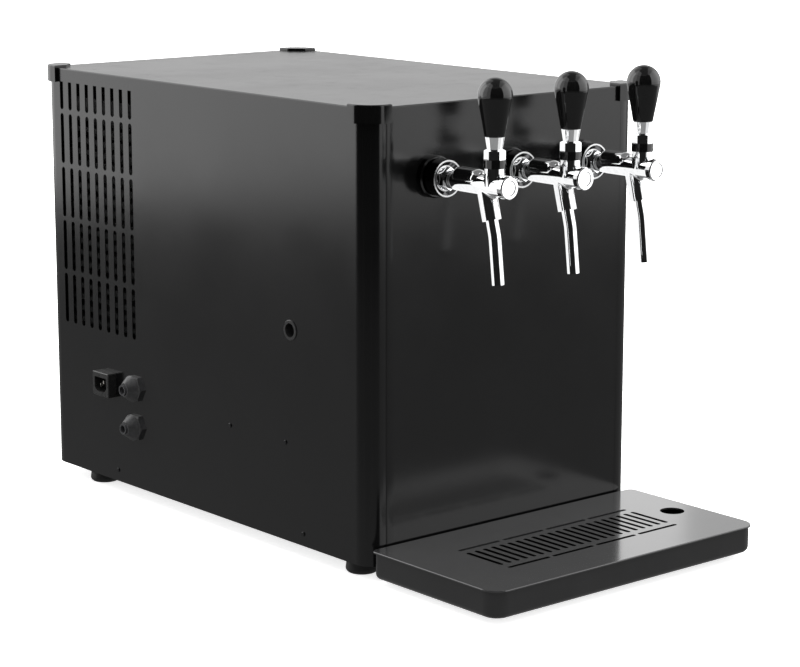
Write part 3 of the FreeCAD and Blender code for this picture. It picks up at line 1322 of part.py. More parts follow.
def thermostat_spindle():
    """Slotted spindle that a screwdriver turns through the bezel."""
    tip = "(bezel_thick - spindle_recess)"
    foot = "-neck_length - thermostat_deep/2"
    body = lathe("thermostat_spindle", "XZ", "V", [
        ("0", foot), ("spindle_radius", foot), ("spindle_radius", tip + " - spindle_slot/2"),
        ("spindle_radius - spindle_slot/2", tip), ("0", tip)])
    cut = new_sketch(body, "XY", tip)
    box_outline(cut, "-spindle_radius", "spindle_radius", "-spindle_slot/2", "spindle_slot/2")
    pocket(body, cut, "spindle_slot")
    node(body, "-" + HALF, "dial_from_front", "dial_height", LEFT)


# ================================================================ cooling parts
BLOCK_TOP = "(jacket_top - jacket_wall)"
BLOCK_LOW = "(foot_height + pan_sheet + jacket_base)"
JACKET_HALF = "(case_width/2 - neck_length - thermostat_deep - jacket_gap)"
JACKET_REAR = "(jacket_front + jacket_depth)"
SUPPLY_X = "(supply_inset - case_width/2)"
FRAME_X = "(case_width/2 - sheet_metal - condenser_gap)"
FRAME_REAR = "(case_depth - frame_gap)"
FRAME_FRONT = "(case_depth - frame_gap - frame_length)"
FAN_Y = "(case_depth - frame_gap - frame_length/2)"
SUPPLIES = ((SUPPLY_X, "fitting_low"), (SUPPLY_X, "fitting_high"), ("-rear_fitting_x", "rear_fitting_height"))


def line_ports(body, top, rear, deep):
    """Bores for the beer lines from above and for the supply lines from behind."""
    above = new_sketch(body, "XY", top)
    for x in ("-" + TAP_X, "0", TAP_X):
        circle(above, x, "line_drop", "line_radius + line_fit")
    pocket(body, above, deep)
    behind = new_sketch(body, "XZ", "-" + rear)
    for x, z in SUPPLIES:
        circle(behind, x, z, "line_radius + line_fit")
    pocket(body, behind, deep, back=True)


def cooling_block():
    """Cast block that cools the beer, with ports for the lines."""
    body = new_body("cooling_block")
    half = "(%s - jacket_wall)" % JACKET_HALF
    rear = "(%s - jacket_wall)" % JACKET_REAR
    base = new_sketch(body, "XY", BLOCK_LOW)
    box_outline(base, "-" + half, half, "jacket_front + jacket_wall", rear)
    pad(body, base, "%s - %s" % (BLOCK_TOP, BLOCK_LOW))
    line_ports(body, BLOCK_TOP, rear, "port_depth")
    node(body)


def foam_jacket():
    """Insulating jacket round the cooling block, with lugs that are screwed to the side panels."""
    body = new_body("foam_jacket")
    base = new_sketch(body, "XY", PAN_TOP)
    box_outline(base, "-" + JACKET_HALF, JACKET_HALF, "jacket_front", JACKET_REAR)
    pad(body, base, "jacket_top - " + PAN_TOP)
    lugs = new_sketch(body, "YZ")
    for y in LUGS:
        box_outline(lugs, y + " - lug_size/2", y + " + lug_size/2",
                    "lug_height - lug_size/2", "lug_height + lug_size/2")
    pad(body, lugs, "case_width - 2*sheet_metal", both=True)
    doc.recompute()
    room = body.newObject("PartDesign::SubtractiveBox", "jacket_room")
    bind(room, "Length", "2*(%s - jacket_wall)" % JACKET_HALF)
    bind(room, "Width", "jacket_depth - 2*jacket_wall")
    bind(room, "Height", "%s - %s" % (BLOCK_TOP, BLOCK_LOW))
    bind(room, ".Placement.Base.x", "jacket_wall - " + JACKET_HALF)
    bind(room, ".Placement.Base.y", "jacket_front + jacket_wall")
    bind(room, ".Placement.Base.z", BLOCK_LOW)
    body.Tip = room
    line_ports(body, "jacket_top", JACKET_REAR, "jacket_wall")
    for side in ("-", ""):
        holes = new_sketch(body, "YZ", side + "(case_width/2 - sheet_metal)")
        for y in LUGS:
            circle(holes, y, "lug_height", "screw_radius + screw_fit")
        pocket(body, holes, "2*screw_length", back=bool(side))
    node(body)


def tube_section(sketch, x, y):
    """The cross-section of a beer line."""
    circle(sketch, x, y, "line_radius")
    return circle(sketch, x, y, "line_bore")


def lines():
    """Beer lines from the block to the taps, and supply lines from the hose fittings to the block."""
    taps_lines = []
    start = "(shank_tail - shank_socket)"
    for x in ("-" + TAP_X, "0", TAP_X):
        body = new_body("beer_line")
        route = outline(new_sketch(body, "YZ"), [
            (start, "tap_height"), ("line_drop - line_bend", "tap_height"),
            ("line_drop", "tap_height - line_bend", "-line_bend"),
            ("line_drop", BLOCK_TOP + " - port_depth")], closed=False)
        section = tube_section(new_sketch(body, "XZ", "-" + start), "0", "tap_height")
        taps_lines.append(place(sweep(body, section, route), x))
    group("beer_lines", taps_lines)
    supplies = []
    start = "-(case_width/2 - fitting_inner + fitting_socket)"
    end = "(%s - jacket_wall - port_depth)" % JACKET_REAR
    for z in ("fitting_low", "fitting_high"):
        body = new_body("supply_line")
        route = outline(new_sketch(body, "XY"), [
            (start, FITTING_Y), (SUPPLY_X + " - line_bend", FITTING_Y),
            (SUPPLY_X, FITTING_Y + " - line_bend", "-line_bend"), (SUPPLY_X, end)], closed=False)
        section = tube_section(new_sketch(body, "YZ", start), FITTING_Y, "0")
        supplies.append(place(sweep(body, section, route), "0", "0", z))
    body = new_body("supply_line")
    rear_end = "(case_depth - fitting_inner + fitting_socket)"
    section = new_sketch(body, "XZ", "-" + rear_end)
    tube_section(section, "-rear_fitting_x", "rear_fitting_height")
    pad(body, section, "%s - %s" % (rear_end, end))
    supplies.append(place(body))
    group("supply_lines", supplies)


def compressor():
    """Compressor: a welded shell with domed ends on a plate with four rubber mounts."""
    body = lathe("compressor", "XZ", "V", [
        ("0", "compressor_base"), ("compressor_radius - compressor_round", "compressor_base"),
        ("compressor_radius", "compressor_base + compressor_round", "compressor_round"),
        ("compressor_radius", "compressor_base + compressor_height - compressor_round"),
        ("compressor_radius - compressor_round", "compressor_base + compressor_height", "compressor_round"),
        ("0", "compressor_base + compressor_height")])
    plate = new_sketch(body, "XY", "compressor_base - mount_plate")
    box_outline(plate, "-mount_width/2", "mount_width/2", "-mount_span/2", "mount_span/2")
    pad(body, plate, "mount_plate")
    mounts = new_sketch(body, "XY", PAN_TOP)
    for x in ("-", ""):
        for y in ("-", ""):
            circle(mounts, x + "(mount_width/2 - grommet_radius)",
                   y + "(mount_span/2 - grommet_radius)", "grommet_radius")
    pad(body, mounts, "compressor_base - mount_plate - " + PAN_TOP)
    node(body, "compressor_x", "case_depth - compressor_from_rear")


def condenser():
    """Finned condenser behind the left vents."""
    body = new_body("condenser")
    near = "(%s + frame_sheet)" % FRAME_FRONT
    far = "(%s - frame_sheet)" % FRAME_REAR
    base = new_sketch(body, "XY", "condenser_low")
    box_outline(base, "-" + FRAME_X, "-%s + condenser_thick" % FRAME_X, near, far)
    pad(body, base, "condenser_tall")
    gap = new_sketch(body, "XY", "condenser_low + fin_pitch")
    box_outline(gap, "-" + FRAME_X, "-%s + fin_depth" % FRAME_X, near, far)
    cut = pocket(body, gap, "fin_groove")
    row_of(body, cut, "Z", "fin_pitch*(fin_grooves - 1)", "fin_grooves")
    doc.recompute()
    node(body)


def condenser_frame():
    """Sheet frame: two end plates that stand on the pan, and the fan plate with its round opening."""
    body = new_body("condenser_frame")
    inner = "(-%s + condenser_thick)" % FRAME_X
    for face, sheet_face in ((FRAME_FRONT, FRAME_FRONT + " + frame_sheet"),
                             (FRAME_REAR, FRAME_REAR + " - frame_sheet")):
        end = new_sketch(body, "XY", PAN_TOP)
        box_outline(end, "-" + FRAME_X, "-%s + frame_depth" % FRAME_X, face, sheet_face)
        pad(body, end, "condenser_low + condenser_tall - " + PAN_TOP)
        if face == FRAME_FRONT:
            web = new_sketch(body, "XY", "condenser_low")
            box_outline(web, inner, inner + " + frame_sheet", FRAME_FRONT, FRAME_REAR)
            pad(body, web, "condenser_tall")
    opening = circle(new_sketch(body, "YZ", inner), FAN_Y, "fan_height", "fan_radius + fan_gap")
    pocket(body, opening, "frame_sheet", back=True)
    node(body)


def fan():
    """Fan: its motor on two arms between the frame's end plates, and the bladed wheel on the motor's
    shaft."""
    x = "(-%s + condenser_thick + frame_sheet + fan_offset)" % FRAME_X
    start = "(hub_length + motor_gap)"
    motor = new_body("fan_motor")
    pad(motor, circle(new_sketch(motor, "YZ", start), "0", "0", "motor_radius"), "motor_length")
    reach = "(frame_length/2 - frame_sheet)"
    arms = new_sketch(motor, "YZ", start + " + spider_back")
    box_outline(arms, "-" + reach, reach, "-spider_arm/2", "spider_arm/2")
    pad(motor, arms, "spider_sheet")
    pad(motor, circle(new_sketch(motor, "YZ"), "0", "0", "motor_shaft"), start)
    back = value(start + " + motor_length")
    dress("Fillet", motor, "motor_gap", lambda edge: abs(edge.BoundBox.XMin - back) < 0.01)
    node(motor, x, FAN_Y, "fan_height")
    wheel = new_body("fan_blades")
    pad(wheel, circle(new_sketch(wheel, "YZ"), "0", "0", "hub_radius"), "hub_length")
    lean = "(blade_chord/2*sin(blade_pitch))"
    wide = "(blade_chord/2*cos(blade_pitch))"
    middle = "((hub_length - blade_thick)/2)"
    section = outline(new_sketch(wheel, "XY", "hub_radius/2"), [
        ("%s - %s" % (middle, lean), "-" + wide, "-blade_camber"),
        ("%s - %s + blade_thick" % (middle, lean), "-" + wide),
        ("%s + %s + blade_thick" % (middle, lean), wide, "blade_camber"), ("%s + %s" % (middle, lean), wide)])
    blade = pad(wheel, section, "sqrt(pow(fan_radius; 2) - pow(%s; 2)) - hub_radius/2" % wide)
    ring_of(wheel, blade, "X", "blade_count")
    doc.recompute()
    bore = circle(new_sketch(wheel, "YZ"), "0", "0", "motor_shaft + shaft_fit")
    pocket(wheel, bore, "hub_length", back=True)
    node(wheel, x, FAN_Y, "fan_height")


casing()
taps()
tray_tub()
tray_lid()
tray_bracket()
connections()
thermostat()
thermostat_spindle()
cooling_block()
foam_jacket()
lines()
compressor()
condenser()
condenser_frame()
fan()
doc.recompute()

# ================================================================ checks and export
for thing in doc.Objects:
    if "Invalid" in thing.State or "Error" in thing.State:
        raise RuntimeError("%s failed: %s" % (thing.Label, thing.State))
for thing in nodes:
    if thing.Shape.isNull() or not thing.Shape.isValid():
        raise RuntimeError("%s has no sound shape" % thing.Label)
os.makedirs("parts", exist_ok=True)
for thing in nodes:
    thing.Shape.exportStep("parts/%s.step" % thing.Label)
print(len(nodes), "pieces written")
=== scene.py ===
"""Three-tap over-counter beer cooler: finishes, the rounded slot edges of the tray's lid, the studio and the
camera.
"""
import math
import bpy
from mathutils import Matrix, Vector


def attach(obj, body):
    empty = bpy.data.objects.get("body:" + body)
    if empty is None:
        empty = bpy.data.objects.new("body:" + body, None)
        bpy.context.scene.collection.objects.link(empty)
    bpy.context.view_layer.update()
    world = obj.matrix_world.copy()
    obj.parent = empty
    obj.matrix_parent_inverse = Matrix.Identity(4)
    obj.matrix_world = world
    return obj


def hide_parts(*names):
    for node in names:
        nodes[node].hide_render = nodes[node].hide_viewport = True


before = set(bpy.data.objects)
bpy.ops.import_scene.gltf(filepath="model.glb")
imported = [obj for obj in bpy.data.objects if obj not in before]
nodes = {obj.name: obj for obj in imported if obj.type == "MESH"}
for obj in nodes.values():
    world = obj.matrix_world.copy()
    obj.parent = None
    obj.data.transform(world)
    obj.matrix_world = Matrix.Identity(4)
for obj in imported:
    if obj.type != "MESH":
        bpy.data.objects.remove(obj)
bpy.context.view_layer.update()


# ---------------------------------------------------------------------------------------------------------
# Studio: a pale floor of matt paper, one tall softbox to the left and one to the right, a soft overhead
# light, dark felt flags between the softboxes with a painted glow in their lowest part, seen only in
# reflections, and the camera to the left of the front.
# ---------------------------------------------------------------------------------------------------------
FLOOR_SIZE = 60
FLOOR_GREY = (0.9, 0.9, 0.9)
FLOOR_GLOW = 0.75
SOFTBOX_REACH = 3.0
OVERHEAD_SPREAD = math.radians(70)
OVERHEAD_STRENGTH = 4.6
FLAG_TURNS = (169, 213, 257)
FLAG_WIDTH = 2.75
FLAG_LOW = -0.75
FLAG_HIGH = 4.0
FLAG_REACH = 3.3
FLAG_FOOT = -1.90
FLAG_FOOT_FADE = 0.04
FLAG_FOOT_GLOW = 0.16
FELT_BLACK = (0.005, 0.005, 0.005)
SKY_STOPS = ((-0.60, 0.30), (-0.27, 0.30), (-0.17, 0.25), (-0.02, 0.28), (0.03, 0.71), (0.5, 1.0),
             (0.87, 0.2))
CAMERA_PLACE = (-1.7995, -2.1779, 0.7941)
CAMERA_TURN = (78.5, -0.053, -40.25)
LENS_MM = 109.18


def shader(name, colour, roughness, metallic=0.0):
    """A new material: its node tree, its Principled shader and the object's own coordinates."""
    material = bpy.data.materials.new(name)
    material.use_nodes = True
    tree = material.node_tree
    principled = tree.nodes["Principled BSDF"]
    principled.inputs["Base Color"].default_value = (*colour, 1)
    principled.inputs["Roughness"].default_value = roughness
    principled.inputs["Metallic"].default_value = metallic
    place = tree.nodes.new("ShaderNodeTexCoord")
    return material, tree, principled, place.outputs["Object"]


def noise(tree, place, scale, detail=3.0, rough=0.55):
    """A noise pattern; scale is in patches per metre."""
    pattern = tree.nodes.new("ShaderNodeTexNoise")
    pattern.inputs["Scale"].default_value = scale
    pattern.inputs["Detail"].default_value = detail
    pattern.inputs["Roughness"].default_value = rough
    tree.links.new(place, pattern.inputs["Vector"])
    return pattern.outputs["Fac"]


def ramp(tree, value, low, high, out_low, out_high):
    """Maps a value from low..high to out_low..out_high, smoothly."""
    mapping = tree.nodes.new("ShaderNodeMapRange")
    mapping.interpolation_type = "SMOOTHSTEP"
    mapping.inputs["From Min"].default_value = low
    mapping.inputs["From Max"].default_value = high
    mapping.inputs["To Min"].default_value = out_low
    mapping.inputs["To Max"].default_value = out_high
    tree.links.new(value, mapping.inputs["Value"])
    return mapping.outputs["Result"]


def relief(tree, principled, height, depth, strength=1.0):
    """A bump of the given depth in metres."""
    bump = tree.nodes.new("ShaderNodeBump")
    bump.inputs["Distance"].default_value = depth
    bump.inputs["Strength"].default_value = strength
    tree.links.new(height, bump.inputs["Height"])
    tree.links.new(bump.outputs["Normal"], principled.inputs["Normal"])
    return bump


def deselect():
    """Nothing selected, and no piece active."""
    bpy.ops.object.select_all(action="DESELECT")
    bpy.context.view_layer.objects.active = None


def stand(thing, turn, reach, left, right, low, high, about=(0, 0)):
    """Stands a flat thing upright, square to the direction turn in degrees and reach away from about."""
    towards = Vector((math.cos(math.radians(turn)), math.sin(math.radians(turn)), 0))
    aside = Vector((-towards.y, towards.x, 0))
    middle = Vector((about[0], about[1], (low + high) / 2))
    thing.location = middle + towards * reach + aside * (left - right) / 2
    thing.rotation_euler = (-towards).to_track_quat("-Z", "Y").to_euler()


def soft_box(name, turn, reach, left, right, low, high, radiance, about=(0, 0)):
    """An upright softbox; left and right are its ends on each side of the direction turn."""
    deselect()
    bpy.ops.object.light_add(type="AREA")
    light = bpy.context.object
    light.name = name
    light.data.shape = "RECTANGLE"
    light.data.size = left + right
    light.data.size_y = high - low
    light.data.energy = radiance * math.pi * light.data.size * light.data.size_y
    stand(light, turn, reach, left, right, low, high, about)
    return light


bpy.context.scene.view_settings.view_transform = "Standard"

deselect()
bpy.ops.mesh.primitive_plane_add(size=FLOOR_SIZE)
floor = bpy.context.object
floor.name = "studio_floor"
paper, tree, principled, place = shader("studio_paper", FLOOR_GREY, 0.9)
relief(tree, principled, noise(tree, place, 60), 0.0002, 0.3)
principled.inputs["Emission Color"].default_value = (1, 1, 1, 1)
principled.inputs["Emission Strength"].default_value = FLOOR_GLOW
floor.data.materials.append(paper)
floor.visible_glossy = False
floor.visible_diffuse = False
floor.visible_shadow = False

world = bpy.data.worlds.new("studio")
bpy.context.scene.world = world
world.use_nodes = True
sky = world.node_tree
direction = sky.nodes.new("ShaderNodeTexCoord")
height = sky.nodes.new("ShaderNodeSeparateXYZ")
sky.links.new(direction.outputs["Generated"], height.inputs["Vector"])
level = sky.nodes.new("ShaderNodeMapRange")
level.inputs["From Min"].default_value = -1
sky.links.new(height.outputs["Z"], level.inputs["Value"])
fade = sky.nodes.new("ShaderNodeValToRGB")
fade.color_ramp.interpolation = "EASE"
for i, (lift, grey) in enumerate(SKY_STOPS):
    stop = fade.color_ramp.elements[i] if i < 2 else fade.color_ramp.elements.new((lift + 1) / 2)
    stop.position = (lift + 1) / 2
    stop.color = (grey, grey, grey, 1)
sky.links.new(level.outputs["Result"], fade.inputs["Fac"])
sky.links.new(fade.outputs["Color"], sky.nodes["Background"].inputs["Color"])

soft_box("left_softbox", turn=129.6, reach=SOFTBOX_REACH, left=0.94, right=2.5, low=-0.03, high=4.0,
         radiance=1.6)
soft_box("right_softbox", turn=309.6, reach=SOFTBOX_REACH, left=2.5, right=1.64, low=-0.01, high=4.0,
         radiance=1.15)
deselect()
bpy.ops.object.light_add(type="SUN")
overhead = bpy.context.object
overhead.name = "overhead_light"
overhead.data.angle = OVERHEAD_SPREAD
overhead.data.energy = OVERHEAD_STRENGTH
overhead.visible_glossy = False

# The flags' felt glows faintly in its lowest part, below the floor's level: a painted glow that only
# reflections show.
felt_with_foot_glow, tree, principled, place = shader("dark_felt_with_foot_glow", FELT_BLACK, 1.0)
principled.inputs["Emission Color"].default_value = (1, 1, 1, 1)
upright = tree.nodes.new("ShaderNodeSeparateXYZ")
tree.links.new(place, upright.inputs["Vector"])
tree.links.new(ramp(tree, upright.outputs["Y"], FLAG_FOOT, FLAG_FOOT + FLAG_FOOT_FADE, FLAG_FOOT_GLOW, 0.0),
               principled.inputs["Emission Strength"])
for turn in FLAG_TURNS:
    deselect()
    bpy.ops.mesh.primitive_plane_add(size=1)
    flag = bpy.context.object
    flag.name = "dark_flag_%d" % turn
    flag.data.transform(Matrix.Diagonal((FLAG_WIDTH, FLAG_HIGH - FLAG_LOW, 1, 1)))
    stand(flag, turn, FLAG_REACH, FLAG_WIDTH / 2, FLAG_WIDTH / 2, FLAG_LOW, FLAG_HIGH)
    flag.data.materials.append(felt_with_foot_glow)
    flag.visible_camera = False
    flag.visible_diffuse = False
    flag.visible_shadow = False

deselect()
bpy.ops.object.camera_add(location=CAMERA_PLACE, rotation=[math.radians(turn) for turn in CAMERA_TURN])
camera = bpy.context.object
camera.name = "view"
camera.data.lens = LENS_MM
camera.data.sensor_width = 36
camera.data.clip_end = 100
bpy.context.scene.camera = camera


# ---------------------------------------------------------------------------------------------------------
# Casing: base pan, four panels and a shallow lid of folded steel sheet, powder coated in satin black.  The
# coat has a fine orange-peel skin and its gloss varies a little.
# ---------------------------------------------------------------------------------------------------------
CASING_BLACK = (0.0028, 0.0028, 0.0029)
CASING_BLACK_WORN = (0.0042, 0.0042, 0.0043)
FRONT_ROLL = 0.012
FRONT_DROP = 0.125 * FRONT_ROLL


def tint(tree, principled, mask, first, second):
    """Colours the finish from first, where the mask is 0, to second, where it is 1."""
    mix = tree.nodes.new("ShaderNodeMix")
    mix.data_type = "RGBA"
    mix.inputs["A"].default_value = (*first, 1)
    mix.inputs["B"].default_value = (*second, 1)
    tree.links.new(mask, mix.inputs["Factor"])
    tree.links.new(mix.outputs["Result"], principled.inputs["Base Color"])


def combine(tree, operation, first, second):
    """A sum or product of two values; either may be a plain number."""
    maths = tree.nodes.new("ShaderNodeMath")
    maths.operation = operation
    for i, value in enumerate((first, second)):
        if isinstance(value, float):
            maths.inputs[i].default_value = value
        else:
            tree.links.new(value, maths.inputs[i])
    return maths.outputs["Value"]


def axes(tree, vector):
    """The three numbers of a vector."""
    split = tree.nodes.new("ShaderNodeSeparateXYZ")
    tree.links.new(vector, split.inputs["Vector"])
    return split.outputs


def extent(node, axis):
    """How far a CAD node reaches along one axis: its low and its high end."""
    along = [corner[axis] for corner in nodes[node].bound_box]
    return min(along), max(along)


def powder_coat(name):
    """Satin black powder coat: orange peel, a mottled gloss and a trace of dust on what faces up."""
    material, tree, principled, place = shader(name, CASING_BLACK, 0.16)
    mottle = ramp(tree, noise(tree, place, 9, 4), 0.3, 0.7, 0.145, 0.18)
    facing = axes(tree, tree.nodes.new("ShaderNodeNewGeometry").outputs["Normal"])["Z"]
    dust = combine(tree, "MULTIPLY", ramp(tree, facing, 0.8, 1.0, 0.0, 1.0),
                   ramp(tree, noise(tree, place, 38, 6, 0.7), 0.5, 0.8, 0.0, 1.0))
    tree.links.new(combine(tree, "ADD", mottle, combine(tree, "MULTIPLY", dust, 0.05)),
                   principled.inputs["Roughness"])
    tint(tree, principled, combine(tree, "ADD", combine(tree, "MULTIPLY", dust, 0.6),
                                   ramp(tree, noise(tree, place, 24, 5, 0.65), 0.35, 0.75, 0.0, 0.4)),
         CASING_BLACK, CASING_BLACK_WORN)
    peel = relief(tree, principled, noise(tree, place, 1100, 2), 0.00002, 0.5)
    return material, tree, place, peel


def finish_nodes(material, *names):
    """Gives CAD nodes their finish."""
    for name in names:
        slots = nodes[name].data.materials
        if len(slots) == 0:
            slots.append(material)
        for i in range(len(slots)):
            slots[i] = material


finish_nodes(powder_coat("powder_coat_black")[0],
             "base_pan", "left_side_panel", "right_side_panel", "rear_panel", "top_lid")

front_edge = extent("front_panel", 0)[0]
front_coat, tree, place, peel = powder_coat("powder_coat_black_front")
roll = tree.nodes.new("ShaderNodeMapRange")
roll.inputs["From Min"].default_value = front_edge + FRONT_ROLL
roll.inputs["From Max"].default_value = front_edge
tree.links.new(axes(tree, place)["X"], roll.inputs["Value"])
rolled = tree.nodes.new("ShaderNodeBump")
rolled.invert = True
rolled.inputs["Distance"].default_value = FRONT_DROP
tree.links.new(combine(tree, "POWER", roll.outputs["Result"], 2.0), rolled.inputs["Height"])
tree.links.new(rolled.outputs["Normal"], peel.inputs["Normal"])
finish_nodes(front_coat, "front_panel")


def pieces(name, members):
    """A named collection of CAD nodes, for a light's reach."""
    group = bpy.data.collections.new(name)
    for member in members:
        group.objects.link(nodes[member])
    return group


# The two panels at the back have a softbox of their own.
rear_softbox = soft_box("rear_softbox", turn=45, reach=SOFTBOX_REACH, left=1.6, right=1.6, low=-0.03,
                        high=2.6, radiance=0.9)
rear_softbox.light_linking.receiver_collection = pieces("rear_casing", ["rear_panel", "right_side_panel"])


# ---------------------------------------------------------------------------------------------------------
# Corner caps: four caps moulded in hard black plastic with a gloss, pushed over the corners of the lid to
# hide and soften them.
# ---------------------------------------------------------------------------------------------------------
CAP_BLACK = (0.003, 0.003, 0.003)
CAP_BLACK_WORN = (0.008, 0.008, 0.008)


def mottled(name, gloss, wear, grain, metallic=0.0):
    """A finish whose gloss, colour and grain vary. gloss and wear are each a noise, the limits that it is
    cut to and what it gives at them; grain is a noise, its depth and its strength."""
    material, tree, principled, place = shader(name, wear[2][0], gloss[2][0], metallic)
    tree.links.new(ramp(tree, noise(tree, place, *gloss[0]), *gloss[1], *gloss[2]),
                   principled.inputs["Roughness"])
    tint(tree, principled, ramp(tree, noise(tree, place, *wear[0]), *wear[1], 0.0, 1.0), *wear[2])
    relief(tree, principled, noise(tree, place, *grain[0]), *grain[1:])
    return material, principled


cap, principled = mottled("cap_gloss_black",
                          gloss=((70, 5, 0.7), (0.4, 0.8), (0.13, 0.2)),
                          wear=((180, 6, 0.75), (0.55, 0.8), (CAP_BLACK, CAP_BLACK_WORN)),
                          grain=((2400, 2), 0.000008, 0.5))
finish_nodes(cap, "front_left_cap", "front_right_cap", "rear_left_cap", "rear_right_cap")


# ---------------------------------------------------------------------------------------------------------
# Feet and screws: four turned feet of black rubber under the pan, and blackened steel screws that hold the
# side and rear panels and the tray's bracket.
# ---------------------------------------------------------------------------------------------------------
RUBBER_BLACK = (0.010, 0.010, 0.010)
RUBBER_DUSTY = (0.03, 0.029, 0.028)
SCREW_BLACK = (0.035, 0.035, 0.036)
SCREW_WORN = (0.12, 0.118, 0.115)

rubber, principled = mottled("foot_rubber",
                             gloss=((120, 5, 0.7), (0.35, 0.75), (0.55, 0.8)),
                             wear=((60, 6, 0.7), (0.45, 0.8), (RUBBER_BLACK, RUBBER_DUSTY)),
                             grain=((1600, 4, 0.7), 0.00006, 0.6))
finish_nodes(rubber, "feet")

screw, principled = mottled("screw_blackened_steel", metallic=1.0,
                            gloss=((500, 4, 0.7), (0.35, 0.7), (0.28, 0.5)),
                            wear=((900, 4, 0.7), (0.55, 0.75), (SCREW_BLACK, SCREW_WORN)),
                            grain=((5000, 2), 0.00001, 0.6))
finish_nodes(screw, "casing_screws")

finish_nodes(powder_coat("powder_coat_black_bracket")[0], "tray_bracket")


# ---------------------------------------------------------------------------------------------------------
# Cooling machinery on the pan: a stove-enamelled compressor, a black lacquered finned condenser with its
# sheet frame and fan, and the cast cooling block in its jacket of stiff foam.
# ---------------------------------------------------------------------------------------------------------
ENAMEL_BLACK = (0.010, 0.010, 0.010)
ENAMEL_DUSTY = (0.03, 0.028, 0.026)
LACQUER_BLACK = (0.004, 0.004, 0.004)
LACQUER_DUSTY = (0.012, 0.0115, 0.011)
FAN_BLACK = (0.008, 0.008, 0.008)
FAN_DUSTY = (0.022, 0.021, 0.02)
CAST_BRIGHT = (0.62, 0.62, 0.63)
CAST_DULL = (0.48, 0.475, 0.47)
FOAM_PALE = (0.76, 0.69, 0.47)
FOAM_AGED = (0.60, 0.51, 0.31)

enamel, principled = mottled("compressor_enamel",
                             gloss=((40, 4), (0.3, 0.7), (0.2, 0.36)),
                             wear=((30, 6, 0.7), (0.5, 0.8), (ENAMEL_BLACK, ENAMEL_DUSTY)),
                             grain=((420, 3), 0.00008, 0.5))
finish_nodes(enamel, "compressor")

lacquer, principled = mottled("condenser_lacquer",
                              gloss=((200, 4), (0.3, 0.7), (0.45, 0.65)),
                              wear=((90, 6, 0.7), (0.5, 0.8), (LACQUER_BLACK, LACQUER_DUSTY)),
                              grain=((1500, 3), 0.00005, 0.5))
finish_nodes(lacquer, "condenser", "condenser_frame")

fan_plastic, principled = mottled("fan_plastic",
                                  gloss=((150, 4), (0.3, 0.7), (0.38, 0.55)),
                                  wear=((80, 5, 0.7), (0.5, 0.8), (FAN_BLACK, FAN_DUSTY)),
                                  grain=((1900, 2), 0.00003, 0.5))
finish_nodes(fan_plastic, "fan_motor", "fan_blades")

cast, principled = mottled("cast_aluminium", metallic=1.0,
                           gloss=((260, 5, 0.7), (0.3, 0.7), (0.42, 0.62)),
                           wear=((35, 6, 0.7), (0.35, 0.75), (CAST_BRIGHT, CAST_DULL)),
                           grain=((900, 5, 0.7), 0.00012, 0.7))
finish_nodes(cast, "cooling_block")

foam, tree, principled, place = shader("insulating_foam", FOAM_PALE, 0.85)
cells = tree.nodes.new("ShaderNodeTexVoronoi")
cells.inputs["Scale"].default_value = 420
tree.links.new(place, cells.inputs["Vector"])
tint(tree, principled, ramp(tree, noise(tree, place, 14, 6, 0.65), 0.35, 0.75, 0.0, 1.0),
     FOAM_PALE, FOAM_AGED)
tree.links.new(ramp(tree, cells.outputs["Distance"], 0.1, 0.6, 0.75, 0.95), principled.inputs["Roughness"])
relief(tree, principled, cells.outputs["Distance"], 0.0006, 0.7)
finish_nodes(foam, "foam_jacket")


# ---------------------------------------------------------------------------------------------------------
# Beer lines: food-grade tube, milky and slightly glossy, from the fittings to the cooling block and from
# there to the taps' shanks.
# ---------------------------------------------------------------------------------------------------------
TUBE_CLEAN = (0.74, 0.75, 0.75)
TUBE_STAINED = (0.64, 0.65, 0.64)

tube, principled = mottled("food_grade_tube",
                           gloss=((110, 4), (0.3, 0.7), (0.25, 0.38)),
                           wear=((45, 5), (0.35, 0.75), (TUBE_CLEAN, TUBE_STAINED)),
                           grain=((800, 3), 0.00003, 0.4))
principled.inputs["Subsurface Weight"].default_value = 0.15
principled.inputs["Subsurface Scale"].default_value = 0.004
finish_nodes(tube, "beer_lines", "supply_lines")


# ---------------------------------------------------------------------------------------------------------
# Connections: push-in fittings and their nuts moulded in glass-filled black nylon, with release collets of
# dark acetal, and the moulded mains inlet with three nickel-plated pins.
# ---------------------------------------------------------------------------------------------------------
NYLON_BLACK = (0.024, 0.024, 0.025)
NYLON_WORN = (0.045, 0.045, 0.046)
ACETAL_GREY = (0.034, 0.034, 0.036)
ACETAL_WORN = (0.055, 0.055, 0.058)
INLET_BLACK = (0.010, 0.010, 0.010)
INLET_WORN = (0.02, 0.02, 0.02)
NICKEL_BRIGHT = (0.74, 0.72, 0.68)
NICKEL_WORN = (0.6, 0.56, 0.5)

nylon, principled = mottled("fitting_black_nylon",
                            gloss=((300, 4, 0.6), (0.3, 0.7), (0.32, 0.46)),
                            wear=((240, 6, 0.7), (0.4, 0.75), (NYLON_BLACK, NYLON_WORN)),
                            grain=((3000, 3, 0.7), 0.00002, 0.6))
finish_nodes(nylon, "upper_hose_fitting", "lower_hose_fitting", "rear_hose_fitting", "fitting_nuts")

acetal, principled = mottled("collet_dark_acetal",
                             gloss=((350, 3), (0.3, 0.7), (0.26, 0.36)),
                             wear=((300, 5, 0.7), (0.4, 0.75), (ACETAL_GREY, ACETAL_WORN)),
                             grain=((3500, 2), 0.000012, 0.5))
finish_nodes(acetal, "upper_release_collet", "lower_release_collet", "rear_release_collet")

inlet, principled = mottled("inlet_black",
                            gloss=((260, 4), (0.3, 0.7), (0.26, 0.38)),
                            wear=((200, 5, 0.7), (0.45, 0.8), (INLET_BLACK, INLET_WORN)),
                            grain=((3200, 2), 0.00002, 0.5))
finish_nodes(inlet, "power_inlet")

